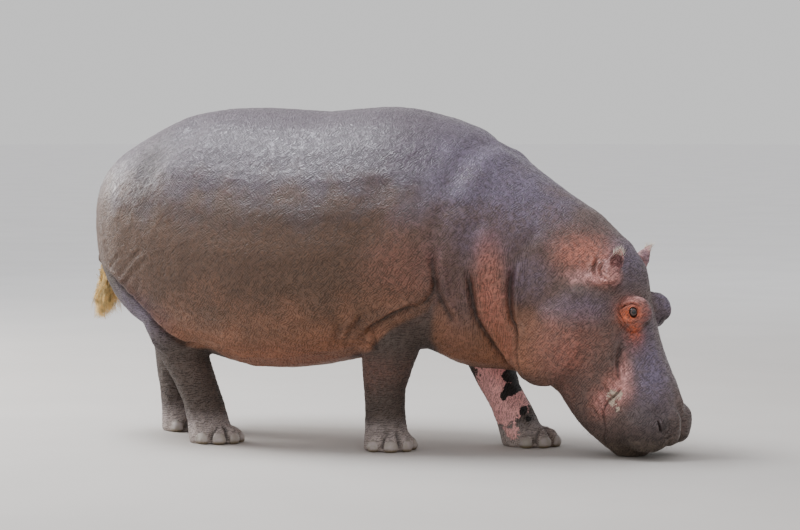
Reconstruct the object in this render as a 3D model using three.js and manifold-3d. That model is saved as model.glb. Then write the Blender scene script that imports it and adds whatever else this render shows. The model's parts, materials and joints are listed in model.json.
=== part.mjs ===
// A standing hippopotamus with its muzzle lowered to the ground, life size, modelled whole and then
// parted with thin cuts into trunk, neck, head, jaw, ears, eyes, tail, legs, feet and nails.
// Millimetres, +X forward, +Y to the animal's left, +Z up, the ground at Z = 0.
import * as THREE from "three";
import { mergeVertices } from "three/addons/utils/BufferGeometryUtils.js";
import Module from "manifold-3d";

const wasm = await Module();
wasm.setup();

// ---------------------------------------------------------------- driving dimensions
// X is measured from the middle of the barrel and moved by BODY_CENTRE_X at the end.
const GAP = 0.4; // width of the thin cuts between neighbouring pieces
const SIDES = { right: -1, left: 1 };
const BODY_CENTRE_X = 238; // middle of the animal's length
const FAR = 4000; // size of the blocks that stand for half spaces
const ANKLE_HEIGHT = 118; // where a leg ends and its foot begins
const FORE_Y = 190; // how far each forefoot stands from the middle plane
const HIND_Y = 200;

// Body sections from back to front: centre, reach up and down, half width, squareness, pear shape.
const TRUNK = [
  { x: -1105, z: 1010, up: 330, down: 420, half: 380, square: 0.3 },
  { x: -880, z: 990, up: 385, down: 480, half: 460, square: 0.3 },
  { x: -620, z: 950, up: 545, down: 530, half: 540, square: 0.3, pear: 0.04 },
  { x: -300, z: 880, up: 640, down: 548, half: 590, square: 0.15, pear: 0.06 },
  { x: 0, z: 880, up: 622, down: 525, half: 595, square: 0.15, pear: 0.06 },
  { x: 300, z: 900, up: 625, down: 480, half: 560, square: 0.15, pear: 0.04 },
  { x: 560, z: 920, up: 560, down: 475, half: 495, square: 0.15 },
  { x: 800, z: 900, up: 430, down: 420, half: 400, square: 0.1 },
];
const NECK = [
  { x: 330, z: 940, tilt: 0, up: 548, down: 460, half: 480 },
  { x: 500, z: 920, tilt: 5, up: 566, down: 470, half: 498, square: 0.1 },
  { x: 650, z: 890, tilt: 10, up: 532, down: 482, half: 464, square: 0.1 },
  { x: 800, z: 835, tilt: 14, up: 474, down: 485, half: 402, square: 0.1 },
  { x: 950, z: 765, tilt: 20, up: 426, down: 430, half: 330, square: 0.1 },
  { x: 1100, z: 680, tilt: 30, up: 404, down: 380, half: 285, square: 0.1 },
  { x: 1200, z: 580, tilt: 42, up: 380, down: 330, half: 240 },
];

// The head hangs down, so its sections run from the nape down to the lips.
const HEAD = [
  { x: 1030, z: 740, tilt: 30, up: 380, down: 330, half: 250, square: 0.2 },
  { x: 1160, z: 630, tilt: 40, up: 392, down: 325, half: 275, square: 0.3, pear: 0.15 },
  { x: 1240, z: 515, tilt: 50, up: 328, down: 305, half: 245, square: 0.4, pear: 0.25 },
  { x: 1300, z: 405, tilt: 62, up: 270, down: 242, half: 195, square: 0.5, pear: 0.25 },
  { x: 1352, z: 300, tilt: 66, up: 253, down: 228, half: 182, square: 0.5, pear: 0.15 },
  { x: 1405, z: 200, tilt: 68, up: 238, down: 206, half: 200, square: 0.6, pear: 0.04 },
  { x: 1445, z: 118, tilt: 66, up: 208, down: 158, half: 192, square: 0.5 },
  { x: 1462, z: 45, tilt: 60, up: 135, down: 110, half: 92, square: 0.2 },
  { x: 1462, z: -20, tilt: 50, up: 60, down: 45, half: 36 },
];
// Rounded forms on each side of the head. The place is that of the left one.
const JOWL = { at: [1104, 190, 535], radii: [188, 134, 236], turns: [0, 18, 0], detail: [13, 8] };
const BROW = { at: [1475, 148, 636], radii: [84, 62, 76], turns: [0, 20, 0], detail: [10, 7] };
const EAR_ROOT = { at: [1372, 178, 800], radii: [70, 52, 62], turns: [0, 20, 0], detail: [8, 5] };
const NOSTRIL = { at: [1608, 92, 155], radii: [56, 58, 76], turns: [0, 20, 0], detail: [10, 6] };
const UPPER_LIP = { at: [1500, 138, 142], radii: [124, 84, 100], turns: [0, 25, 0], detail: [12, 7] };
const LOWER_LIP = { at: [1385, 98, 146], radii: [78, 74, 92], turns: [0, 25, 0], detail: [10, 6] };
const EYE = { at: [1480, 188, 643], radii: [24, 24, 24], detail: [8, 6] };
const EAR = { at: [1413, 218, 860], radii: [30, 48, 78], turns: [14, 20, 55], detail: [9, 7] };
const EAR_CUP = { at: [1435, 242, 872], radii: [22, 34, 56], turns: [14, 20, 55], detail: [8, 6] };

// Each leg is a column of flat sections from the body down to just below the ground.
const LEGS = {
  foreleg_right: {
    side: -1,
    stations: [
      { x: 420, y: 250, z: 760, up: 200, down: 200, half: 150 },
      { x: 390, y: 240, z: 540, up: 165, down: 150, half: 140 },
      { x: 360, y: 215, z: 380, up: 120, down: 118, half: 115 },
      { x: 345, y: 195, z: 250, up: 84, down: 100, half: 96 },
      { x: 345, y: FORE_Y, z: 140, up: 88, down: 98, half: 100 },
      { x: 345, y: FORE_Y, z: -20, up: 105, down: 105, half: 110 },
    ],
  },
  foreleg_left: {
    side: 1,
    stations: [
      { x: 500, y: 250, z: 760, up: 200, down: 200, half: 150 },
      { x: 605, y: 240, z: 540, up: 160, down: 165, half: 140 },
      { x: 690, y: 215, z: 380, up: 108, down: 118, half: 112 },
      { x: 755, y: 195, z: 250, up: 84, down: 104, half: 96 },
      { x: 825, y: FORE_Y, z: 140, up: 86, down: 104, half: 98 },
      { x: 878, y: FORE_Y, z: -20, up: 105, down: 112, half: 110 },
    ],
  },
  hindleg_right: {
    side: -1,
    stations: [
      { x: -640, y: 260, z: 800, up: 260, down: 240, half: 190 },
      { x: -640, y: 250, z: 600, up: 210, down: 190, half: 170 },
      { x: -628, y: 225, z: 420, up: 108, down: 130, half: 130 },
      { x: -580, y: 205, z: 270, up: 100, down: 98, half: 100 },
      { x: -530, y: HIND_Y, z: 140, up: 95, down: 95, half: 98 },
      { x: -505, y: HIND_Y, z: -20, up: 105, down: 100, half: 108 },
    ],
  },
  hindleg_left: {
    side: 1,
    stations: [
      { x: -760, y: 260, z: 800, up: 260, down: 240, half: 190 },
      { x: -800, y: 250, z: 600, up: 200, down: 170, half: 170 },
      { x: -852, y: 225, z: 420, up: 120, down: 136, half: 130 },
      { x: -858, y: 205, z: 270, up: 98, down: 106, half: 100 },
      { x: -848, y: HIND_Y, z: 140, up: 92, down: 92, half: 98 },
      { x: -840, y: HIND_Y, z: -20, up: 100, down: 95, half: 105 },
    ],
  },
};

// A foot stands at x, y, is scaled by its size, and its toes are turned outwards by its turn, in degrees.
const FEET = {
  forefoot_right: { x: 350, y: -FORE_Y, size: 1, turn: 42 },
  forefoot_left: { x: 896, y: FORE_Y, size: 1, turn: -22 },
  hindfoot_right: { x: -474, y: -HIND_Y, size: 0.92, turn: 42 },
  hindfoot_left: { x: -828, y: HIND_Y, size: 0.92, turn: -22 },
};
const FOOT_ROOM = 190; // reach of the block that a foot is cut with, each way from its middle
// Toes lie ahead and out of the foot's middle and fan outwards, in degrees.
const TOES = {
  inner: { ahead: 32, out: -60, size: 0.92, fan: -62 },
  second: { ahead: 64, out: -23, size: 1, fan: -20 },
  third: { ahead: 64, out: 23, size: 1, fan: 20 },
  outer: { ahead: 32, out: 60, size: 0.92, fan: 62 },
};
const TOE_FORM = { radii: [80, 44, 60], height: 34, ahead: -12, detail: [7, 5] };
const NAIL_FORM = { radii: [30, 37, 31], height: 22, ahead: 44, detail: [6, 4] };

// The tail hangs behind the rump and ends in a tuft of bristles.
const TAIL = [
  { x: -1010, z: 1040, tilt: 35, up: 70, down: 66, half: 80 },
  { x: -1090, z: 975, tilt: 52, up: 50, down: 50, half: 60 },
  { x: -1132, z: 890, tilt: 72, up: 32, down: 32, half: 44 },
  { x: -1150, z: 795, tilt: 84, up: 22, down: 22, half: 34 },
  { x: -1152, z: 700, tilt: 90, up: 15, down: 15, half: 26 },
];
const TUFT = [
  { x: -1154, z: 800, tilt: 86, up: 34, down: 34, half: 48 },
  { x: -1146, z: 705, tilt: 92, up: 50, down: 46, half: 58 },
  { x: -1122, z: 615, tilt: 98, up: 52, down: 48, half: 54 },
  { x: -1092, z: 528, tilt: 102, up: 40, down: 36, half: 36 },
];

// Planes of the cuts: a point [x, z] on each and its lean forward from vertical, in degrees.
const NECK_CUT = { at: [590, 600], lean: 13 };
const HEAD_CUT = { at: [965, 500], lean: 13 };
const MOUTH_CORNER = [1427, 285];
const MOUTH_CUT = { at: MOUTH_CORNER, lean: -20 };
const JAW_CUT = { at: MOUTH_CORNER, lean: -70 };
const LEG_ROOM = { inner: 60, margin: 40, square: 12 }; // the room that a leg is cut with

const HIDE = { color: 0x7a6764, roughness: 0.55 };
const DARK_HIDE = { color: 0x5d5254, roughness: 0.6 };
const HORN = { color: 0x8c8174, roughness: 0.45 };
const WET_EYE = { color: 0x241a16, roughness: 0.08 };
const STRAW = { color: 0xb99a5c, roughness: 0.8 };

// ---------------------------------------------------------------- shape tools
const radians = THREE.MathUtils.degToRad;
const rounded = (s) => Math.sqrt(Math.max(0, 1 - (1 - Math.min(1, s)) ** 2));
const squared = (v, power) => Math.sign(v) * Math.abs(v) ** (2 / power);

// Catmull-Rom value of one key through the stations, at t from 0 to stations.length - 1.
function between(stations, key, t) {
  const i = Math.min(Math.floor(t), stations.length - 2);
  const value = (k) => stations[Math.max(0, Math.min(stations.length - 1, k))][key] ?? 0;
  const [a, b, c, d] = [value(i - 1), value(i), value(i + 1), value(i + 2)];
  const u = t - i;
  return b + 0.5 * u * (c - a + u * (2 * a - 5 * b + 4 * c - d + u * (3 * (b - c) + d - a)));
}

// A closed skin of rings through the stations. A station's tilt turns its upward axis forward from
// vertical. The first and last stretch, a share of the length each, are rounded off.
function loft(stations, { around, along, round, grow = 0 }) {
  const points = [];
  const last = stations.length - 1;
  const addRing = (t, size) => {
    const s = (key) => between(stations, key, t);
    const up = new THREE.Vector3(Math.sin(radians(s("tilt"))), 0, Math.cos(radians(s("tilt"))));
    const centre = new THREE.Vector3(s("x"), s("y"), s("z"));
    const power = 2 + s("square");
    for (let k = 0; k < around; k++) {
      const angle = (2 * Math.PI * k) / around;
      const side = squared(Math.cos(angle), power);
      const rise = squared(Math.sin(angle), power);
      const reach = rise > 0 ? s("up") : s("down");
      const p = centre.clone().addScaledVector(up, rise * (reach + grow) * size);
      p.y += side * (s("half") * (1 - s("pear") * rise) + grow) * size;
      points.push(p.x, p.y, p.z);
    }
  };
  const addPole = (t, outward) => {
    const tilt = radians(between(stations, "tilt", t));
    const [x, y, z] = ["x", "y", "z"].map((key) => between(stations, key, t));
    points.push(x + outward * grow * Math.cos(tilt), y, z - outward * grow * Math.sin(tilt));
  };
  const rings = along + 1;
  for (let i = 0; i < rings; i++) {
    const even = (i + 0.5) / rings;
    const eased = 0.5 - 0.5 * Math.cos(Math.PI * even);
    const share = (even + eased) / 2;
    addRing(share * last, Math.min(rounded(share / round[0]), rounded((1 - share) / round[1])));
  }
  addPole(0, -1);
  addPole(last, 1);

  const faces = [];
  const [tail, tip] = [rings * around, rings * around + 1];
  for (let k = 0; k < around; k++) {
    const next = (k + 1) % around;
    faces.push(tail, next, k);
    faces.push(tip, (rings - 1) * around + k, (rings - 1) * around + next);
    for (let i = 0; i < rings - 1; i++) {
      const [a, b] = [i * around + k, i * around + next];
      faces.push(a, b, b + around, a, b + around, a + around);
    }
  }
  const geometry = new THREE.BufferGeometry();
  geometry.setAttribute("position", new THREE.Float32BufferAttribute(points, 3));
  geometry.setIndex(faces);
  return solid(geometry);
}

// A stretched ball with its centre at [x, y, z], its three radii and its turns about X, Y and Z.
function ball(centre, radii, turns, detail) {
  const placed = new THREE.Matrix4().compose(
    new THREE.Vector3(...centre),
    new THREE.Quaternion().setFromEuler(new THREE.Euler(...turns.map(radians))),
    new THREE.Vector3(...radii),
  );
  return solid(new THREE.SphereGeometry(1, ...detail).rotateX(Math.PI / 2).applyMatrix4(placed));
}

// A block from its low to its high corner, turned about Y by a lean and then moved to a point [x, z].
function block(low, high, lean = 0, [x, z] = [0, 0]) {
  const size = low.map((v, i) => high[i] - v);
  const middle = low.map((v, i) => (high[i] + v) / 2);
  return solid(
    new THREE.BoxGeometry(...size)
      .translate(...middle)
      .rotateY(radians(lean))
      .translate(x, 0, z),
  );
}

// Everything ahead of a leaning plane, or behind it, starting a gap away from it.
const aheadOf = ({ at, lean }, gap = 0) => block([gap, -FAR, -FAR], [2 * FAR, FAR, FAR], lean, at);
const behind = ({ at, lean }, gap = 0) => block([-2 * FAR, -FAR, -FAR], [-gap, FAR, FAR], lean, at);
const aboveLevel = (z) => block([-FAR, -FAR, z], [FAR, FAR, FAR]);

// The closed solid of a geometry.
function solid(geometry) {
  const bare = new THREE.BufferGeometry();
  bare.setAttribute("position", geometry.getAttribute("position"));
  bare.setIndex(geometry.index);
  const merged = mergeVertices(bare, 1e-3);
  const faces = merged.index.array;
  const triVerts = [];
  for (let i = 0; i < faces.length; i += 3) {
    const [a, b, c] = faces.slice(i, i + 3);
    if (a !== b && b !== c && c !== a) {
      triVerts.push(a, b, c);
    }
  }
  return new wasm.Manifold(
    new wasm.Mesh({
      numProp: 3,
      vertProperties: merged.attributes.position.array,
      triVerts: new Uint32Array(triVerts),
    }),
  );
}

const joined = (solids) => solids.reduce((all, one) => all.add(one));
const largest = (whole) => whole.decompose().sort((a, b) => b.volume() - a.volume())[0];

// ---------------------------------------------------------------- flesh
for (const { side, stations } of Object.values(LEGS)) {
  for (const station of stations) {
    station.y *= side;
    station.tilt = 90;
  }
}

// One of a pair of rounded forms, mirrored to its side of the head.
function form(side, { at: [x, y, z], radii, turns = [0, 0, 0], detail }, grow = 0) {
  const [a, b, c] = turns;
  const grown = radii.map((r) => r + grow);
  return ball([x, side * y, z], grown, [side * a, b, side * c], detail);
}
const bothSides = (one, grow = 0) => Object.values(SIDES).map((side) => form(side, one, grow));

const trunkShape = (grow = 0) => loft(TRUNK, { around: 24, along: 16, round: [0.17, 0.15], grow });
const neckShape = () => loft(NECK, { around: 22, along: 9, round: [0.1, 0.1] });
const headShape = (grow = 0) =>
  joined([
    loft(HEAD, { around: 20, along: 14, round: [0.1, 0.1], grow }),
    ...[JOWL, BROW, EAR_ROOT, NOSTRIL, UPPER_LIP, LOWER_LIP].flatMap((one) => bothSides(one, grow)),
  ]);
const legShape = ({ stations }) => loft(stations, { around: 11, along: 7, round: [0.2, 0.03] });
const tailShape = () => loft(TAIL, { around: 10, along: 6, round: [0.1, 0.1] });
const tuftShape = (grow = 0) => loft(TUFT, { around: 10, along: 6, round: [0.2, 0.3], grow });

// A toe's flesh or its nail, placed on a foot that stands to one side of the middle plane.
function toeShape(foot, toe, { radii, height, ahead, detail }, grow = 0) {
  const side = Math.sign(foot.y);
  const fan = radians(toe.fan);
  const turn = radians(side * foot.turn);
  const forward = (toe.ahead + ahead * toe.size * Math.cos(fan)) * foot.size;
  const sideways = (toe.out + ahead * toe.size * Math.sin(fan)) * foot.size * side;
  const x = foot.x + forward * Math.cos(turn) - sideways * Math.sin(turn);
  const y = foot.y + forward * Math.sin(turn) + sideways * Math.cos(turn);
  const scale = foot.size * toe.size;
  const grown = radii.map((r) => r * scale + grow);
  return ball([x, y, height * scale], grown, [0, 0, side * (foot.turn + toe.fan)], detail);
}
const toesShape = (foot) => joined(Object.values(TOES).map((toe) => toeShape(foot, toe, TOE_FORM)));

const aboveGround = aboveLevel(0);
const flesh = joined([
  trunkShape(),
  neckShape(),
  headShape(),
  ...Object.values(LEGS).map(legShape),
  ...Object.values(FEET).map(toesShape),
]).intersect(aboveGround);

// ---------------------------------------------------------------- thin cuts and pieces
const hippopotamus = new THREE.Group();
hippopotamus.position.x = -BODY_CENTRE_X;

function keep(name, piece, look) {
  const { vertProperties, triVerts } = largest(piece).getMesh();
  const geometry = new THREE.BufferGeometry();
  geometry.setAttribute("position", new THREE.BufferAttribute(vertProperties, 3));
  geometry.setIndex(new THREE.BufferAttribute(triVerts, 1));
  const mesh = new THREE.Mesh(geometry, new THREE.MeshStandardMaterial({ metalness: 0, ...look }));
  mesh.name = name;
  hippopotamus.add(mesh);
}

// The room round a leg, open to the outside, that the leg is parted from the body with.
function legRoom({ side, stations }, grow = 0) {
  const wide = stations.map((station) => ({
    ...station,
    y: side * (LEG_ROOM.inner + FAR / 4),
    half: FAR / 4,
    up: station.up + LEG_ROOM.margin,
    down: station.down + LEG_ROOM.margin,
    square: LEG_ROOM.square,
  }));
  return loft(wide, { around: 8, along: 6, round: [0.2, 0.02], grow });
}

const footRoom = ({ x, y }) =>
  block([x - FOOT_ROOM, y - FOOT_ROOM, 0], [x + FOOT_ROOM, y + FOOT_ROOM, ANKLE_HEIGHT]);

for (const [name, leg] of Object.entries(LEGS)) {
  keep(name, flesh.intersect(legRoom(leg)).intersect(aboveLevel(ANKLE_HEIGHT + GAP)), HIDE);
}
for (const [name, foot] of Object.entries(FEET)) {
  let bare = flesh.intersect(footRoom(foot));
  for (const [toeName, toe] of Object.entries(TOES)) {
    bare = bare.subtract(toeShape(foot, toe, NAIL_FORM, GAP));
    keep(`nail_${name}_${toeName}`, toeShape(foot, toe, NAIL_FORM).intersect(aboveGround), HORN);
  }
  keep(name, bare, DARK_HIDE);
}
const legRooms = Object.values(LEGS).map((leg) => legRoom(leg, GAP));
const footRooms = Object.values(FEET).map(footRoom);
const body = flesh.subtract(joined([...legRooms, ...footRooms]));

keep("tail", tailShape().subtract(trunkShape(GAP)).subtract(tuftShape(GAP)), HIDE);
keep("tail_tuft", tuftShape(), STRAW);
keep("trunk", body.intersect(behind(NECK_CUT)), HIDE);
keep("neck", body.intersect(aheadOf(NECK_CUT, GAP)).intersect(behind(HEAD_CUT)), HIDE);

const wholeHead = body.intersect(aheadOf(HEAD_CUT, GAP)).subtract(joined(bothSides(EYE, GAP)));
const jawRoom = (grow) => behind(MOUTH_CUT, -grow).intersect(behind(JAW_CUT, -grow));
keep("head", wholeHead.subtract(jawRoom(GAP)), HIDE);
keep("lower_jaw", wholeHead.intersect(jawRoom(0)), HIDE);

for (const [name, side] of Object.entries(SIDES)) {
  const ear = form(side, EAR).subtract(form(side, EAR_CUP)).subtract(headShape(GAP));
  keep(`ear_${name}`, ear, HIDE);
  keep(`eye_${name}`, form(side, EYE), WET_EYE);
}

export default hippopotamus;
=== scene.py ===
"""A life-size hippopotamus with its head lowered: hide, eyes, nails and bristles over the packed frame.

Lengths are in metres. +X is the way the animal faces, +Y its left and +Z up. A place beside the
middle plane is written with a positive y and is used on each side that the feature names.
"""

import itertools
import json
import math
from collections import namedtuple

import bpy
import numpy as np
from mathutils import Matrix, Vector, kdtree
from mathutils.bvhtree import BVHTree
from bpy.props import FloatProperty, FloatVectorProperty, IntProperty, PointerProperty
from bpy.types import Operator, Panel, PropertyGroup

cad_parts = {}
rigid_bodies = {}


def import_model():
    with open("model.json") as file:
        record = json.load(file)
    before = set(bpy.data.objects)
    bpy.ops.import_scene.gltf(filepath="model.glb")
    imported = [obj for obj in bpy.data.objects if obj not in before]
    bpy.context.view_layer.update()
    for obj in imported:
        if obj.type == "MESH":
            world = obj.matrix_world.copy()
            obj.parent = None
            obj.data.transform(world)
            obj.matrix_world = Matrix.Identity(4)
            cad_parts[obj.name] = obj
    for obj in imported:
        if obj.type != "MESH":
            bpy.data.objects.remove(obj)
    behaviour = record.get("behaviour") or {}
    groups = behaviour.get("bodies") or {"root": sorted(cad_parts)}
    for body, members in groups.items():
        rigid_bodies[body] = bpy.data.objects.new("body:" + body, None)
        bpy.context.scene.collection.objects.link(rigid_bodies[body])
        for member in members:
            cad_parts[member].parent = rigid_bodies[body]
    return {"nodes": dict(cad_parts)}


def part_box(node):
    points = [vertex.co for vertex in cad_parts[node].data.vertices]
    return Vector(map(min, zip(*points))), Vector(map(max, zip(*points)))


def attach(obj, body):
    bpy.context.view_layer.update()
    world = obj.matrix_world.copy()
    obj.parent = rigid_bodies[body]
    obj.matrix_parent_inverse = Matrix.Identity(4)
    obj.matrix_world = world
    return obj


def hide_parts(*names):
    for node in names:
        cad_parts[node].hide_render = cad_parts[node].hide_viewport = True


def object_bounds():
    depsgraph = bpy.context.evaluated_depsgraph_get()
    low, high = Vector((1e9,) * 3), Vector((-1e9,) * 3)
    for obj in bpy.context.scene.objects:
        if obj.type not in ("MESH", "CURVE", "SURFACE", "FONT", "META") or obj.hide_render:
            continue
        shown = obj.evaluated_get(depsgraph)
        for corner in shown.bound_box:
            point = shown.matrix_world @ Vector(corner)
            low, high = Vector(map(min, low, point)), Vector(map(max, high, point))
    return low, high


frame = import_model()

bl_info = {
    "name": "Hippopotamus",
    "version": (1, 0, 0),
    "blender": (4, 5, 0),
    "location": "3D View > Sidebar > Hippopotamus",
    "description": "Builds a life-size hippopotamus over its packed frame",
    "category": "Add Mesh",
}

FRAME_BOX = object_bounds()

RIGHT, LEFT = -1, 1
BOTH = (RIGHT, LEFT)
SIDE_NAMES = {RIGHT: "right", LEFT: "left"}
UP = (0, 0, 1)
AHEAD = (1, 0, 0)

# ---------------------------------------------------------------- places taken from the frame


def middle(node):
    """The middle of a solid's box."""
    low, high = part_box(node)
    return np.array((low + high) / 2)


NAILS = sorted(n for n in frame["nodes"] if n.startswith("nail_"))
FLESH = sorted(n for n in frame["nodes"] if not n.startswith(("nail_", "eye_", "tail_tuft")))
EYES = {side: middle(f"eye_{name}") for side, name in SIDE_NAMES.items()}
EYE_RADIUS = (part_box("eye_right")[1].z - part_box("eye_right")[0].z) / 2
EARS = {side: middle(f"ear_{name}") for side, name in SIDE_NAMES.items()}
FORELEG_LEAD = middle("foreleg_left")[0] - middle("foreleg_right")[0]
HINDLEG_LEAD = middle("hindleg_left")[0] - middle("hindleg_right")[0]

# The plane where the head meets the neck: a point on it and the way it faces.
NAPE = np.array((0.727, 0, 0.5))
HEAD_AHEAD = np.array((math.cos(math.radians(13)), 0, -math.sin(math.radians(13))))

# ---------------------------------------------------------------- the hide's folds and swellings

# A fold is a valley along a line over the hide. Its bank is the side that swells beside it.
Fold = namedtuple("Fold", "line width depth roll bank sides", defaults=(None, BOTH))
# A swelling pushes the hide out round a place, or in where its height is negative.
Swelling = namedtuple("Swelling", "at radii height sides", defaults=(BOTH,))


def moved(line, ahead):
    """The same line, further ahead."""
    return [(x + ahead, y, z) for x, y, z in line]


ARMPIT = [(-0.05, 0.4, 0.42), (0.08, 0.44, 0.45), (0.2, 0.46, 0.555), (0.3, 0.47, 0.603), (0.382, 0.45, 0.64)]
SHOULDER = [(0.36, 0.46, 0.63), (0.41, 0.45, 0.69), (0.445, 0.44, 0.8)]
THIGH = [(-0.95, 0.42, 0.48), (-0.88, 0.43, 0.445), (-0.78, 0.42, 0.425), (-0.66, 0.38, 0.425)]
BUTTOCK = [(-1.214, 0.332, 0.793), (-1.149, 0.386, 0.761), (-1.096, 0.412, 0.723), (-1.033, 0.418, 0.671),
           (-0.975, 0.414, 0.618), (-0.941, 0.403, 0.564), (-0.894, 0.395, 0.516), (-0.843, 0.38, 0.474),
           (-0.803, 0.37, 0.449), (-0.757, 0.36, 0.434), (-0.65, 0.36, 0.43), (-0.52, 0.36, 0.432)]

NECK_FOLDS = (
    Fold([(0.572, 0, 1.375), (0.5, 0.2, 1.312), (0.457, 0.33, 1.205), (0.436, 0.4, 1.1)],
         0.046, 0.011, 0.009, AHEAD),
    Fold([(0.436, 0.4, 1.1), (0.415, 0.44, 0.95), (0.42, 0.45, 0.82)], 0.034, 0.011, 0.008, AHEAD),
    Fold([(0.415, 0.44, 0.92), (0.423, 0.45, 0.8), (0.444, 0.42, 0.69), (0.49, 0.35, 0.54)],
         0.017, 0.017, 0.01, AHEAD, (RIGHT,)),
    Fold([(0.6, 0.36, 1.05), (0.572, 0.42, 0.95), (0.563, 0.42, 0.856)], 0.028, 0.009, 0.006, AHEAD),
    Fold([(0.563, 0.42, 0.87), (0.574, 0.4, 0.735), (0.583, 0.36, 0.603), (0.617, 0.3, 0.491),
          (0.655, 0.18, 0.37), (0.67, 0, 0.33)], 0.016, 0.022, 0.016, AHEAD),
    Fold([(0.844, 0.26, 1.013), (0.79, 0.3, 0.941), (0.75, 0.33, 0.855)], 0.026, 0.008, 0.002, AHEAD),
    Fold([(0.75, 0.33, 0.87), (0.731, 0.34, 0.735), (0.728, 0.33, 0.583), (0.732, 0.3, 0.472),
          (0.764, 0.22, 0.348)], 0.014, 0.024, 0.014, AHEAD),
    Fold([(0.66, 0.4, 0.88), (0.652, 0.36, 0.66), (0.69, 0.28, 0.48)], 0.03, 0.004, 0.004),
    Fold([(0.5, 0.42, 0.86), (0.505, 0.4, 0.7), (0.53, 0.34, 0.55)], 0.022, 0.007, 0.004, None, (RIGHT,)),
)

BODY_FOLDS = (
    Fold(ARMPIT, 0.016, 0.022, 0.014, UP, (RIGHT,)),
    Fold(moved(ARMPIT, FORELEG_LEAD), 0.016, 0.022, 0.014, UP, (LEFT,)),
    Fold(SHOULDER, 0.014, 0.01, 0.006, None, (RIGHT,)),
    Fold(moved(THIGH, HINDLEG_LEAD), 0.015, 0.018, 0.014, UP, (LEFT,)),
    Fold(BUTTOCK, 0.013, 0.024, 0.014, (0.6, 0, 0.8), (RIGHT,)),
    Fold([(-1.05, 0.4, 0.43), (-0.95, 0.42, 0.405), (-0.86, 0.42, 0.4)],
         0.01, 0.007, 0.004, None, (RIGHT,)),
    Fold([(-0.72, 0.2, 1.42), (-0.83, 0.32, 1.28), (-0.95, 0.4, 1.14)], 0.08, 0.011, 0.002,
         (-1, 0, 0.4)),
    Fold([(0.17, 0.446, 1.22), (0.16, 0.5, 1.05), (0.15, 0.53, 0.86)], 0.07, 0.008, 0.003),
    Fold([(-1.08, 0.36, 0.76), (-1.0, 0.42, 0.83), (-0.9, 0.47, 0.9)], 0.01, 0.0022, 0.0012),
    Fold([(-1.06, 0.36, 0.72), (-0.98, 0.43, 0.79), (-0.88, 0.49, 0.85)], 0.01, 0.0022, 0.0012),
    Fold([(-1.02, 0.38, 0.68), (-0.94, 0.46, 0.75)], 0.01, 0.002, 0.0012),
    Fold([(-1.12, 0.34, 0.8), (-1.04, 0.4, 0.87)], 0.009, 0.003, 0.002),
    Fold([(0.0, 0.42, 0.46), (0.06, 0.45, 0.53), (0.1, 0.48, 0.62)], 0.016, 0.007, 0.005),
    Fold([(-0.06, 0.4, 0.43), (-0.02, 0.44, 0.5), (0.0, 0.48, 0.58)], 0.016, 0.006, 0.004),
    Fold([(0.09, 0.19, 0.245), (0.17, 0.27, 0.235), (0.25, 0.19, 0.225)],
         0.008, 0.004, 0.003, None, (RIGHT,)),
)

HEAD_FOLDS = (
    # From below the eye down to the corner of the mouth.
    Fold([(1.207, 0.18, 0.52), (1.182, 0.17, 0.474), (1.171, 0.17, 0.431), (1.167, 0.175, 0.381),
          (1.18, 0.173, 0.325)], 0.009, 0.008, 0.005),
    Fold([(1.15, 0.19, 0.45), (1.148, 0.19, 0.39), (1.155, 0.19, 0.33)], 0.006, 0.004, 0.003),
    Fold([(1.195, 0.18, 0.44), (1.2, 0.18, 0.39), (1.2, 0.18, 0.34)], 0.005, 0.004, 0.003),
    # The mouth, from its corner down to the chin.
    Fold([(1.197, 0.175, 0.325), (1.159, 0.191, 0.278), (1.123, 0.19, 0.242), (1.109, 0.193, 0.198)],
         0.007, 0.013, 0.006, AHEAD),
    Fold([(1.118, 0.19, 0.23), (1.112, 0.193, 0.19), (1.118, 0.19, 0.128), (1.1, 0.16, 0.06),
          (1.11, 0.12, 0.02)], 0.007, 0.007, 0.004, AHEAD),
    Fold([(1.09, 0.2, 0.3), (1.12, 0.2, 0.255), (1.135, 0.19, 0.215)], 0.005, 0.005, 0.003),
    Fold([(1.07, 0.2, 0.27), (1.1, 0.2, 0.23), (1.115, 0.19, 0.19)], 0.005, 0.005, 0.003),
    Fold([(1.05, 0.2, 0.24), (1.08, 0.2, 0.2), (1.095, 0.19, 0.165)], 0.005, 0.004, 0.002),
    Fold([(1.11, 0.2, 0.33), (1.14, 0.2, 0.29), (1.165, 0.19, 0.265)], 0.005, 0.005, 0.003),
    Fold([(1.13, 0.2, 0.36), (1.155, 0.2, 0.33), (1.18, 0.19, 0.305)], 0.005, 0.004, 0.003),
    # Round the root of the ear.
    Fold([(1.12, 0.19, 0.87), (1.1, 0.22, 0.84), (1.105, 0.23, 0.8), (1.135, 0.23, 0.775)],
         0.006, 0.008, 0.006),
    Fold([(1.09, 0.2, 0.89), (1.075, 0.22, 0.84), (1.085, 0.23, 0.785), (1.12, 0.23, 0.755)],
         0.007, 0.006, 0.005),
    Fold([(1.02, 0.24, 0.8), (1.08, 0.23, 0.755), (1.15, 0.22, 0.75), (1.19, 0.2, 0.77)],
         0.01, 0.006, 0.006, UP),
    # Above and ahead of the brow.
    Fold([(1.17, 0.18, 0.73), (1.22, 0.17, 0.745), (1.27, 0.14, 0.73)], 0.012, 0.004, 0.003),
    Fold([(1.285, 0.17, 0.61), (1.292, 0.15, 0.565), (1.28, 0.15, 0.51)], 0.018, 0.009, 0.003),
)

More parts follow.
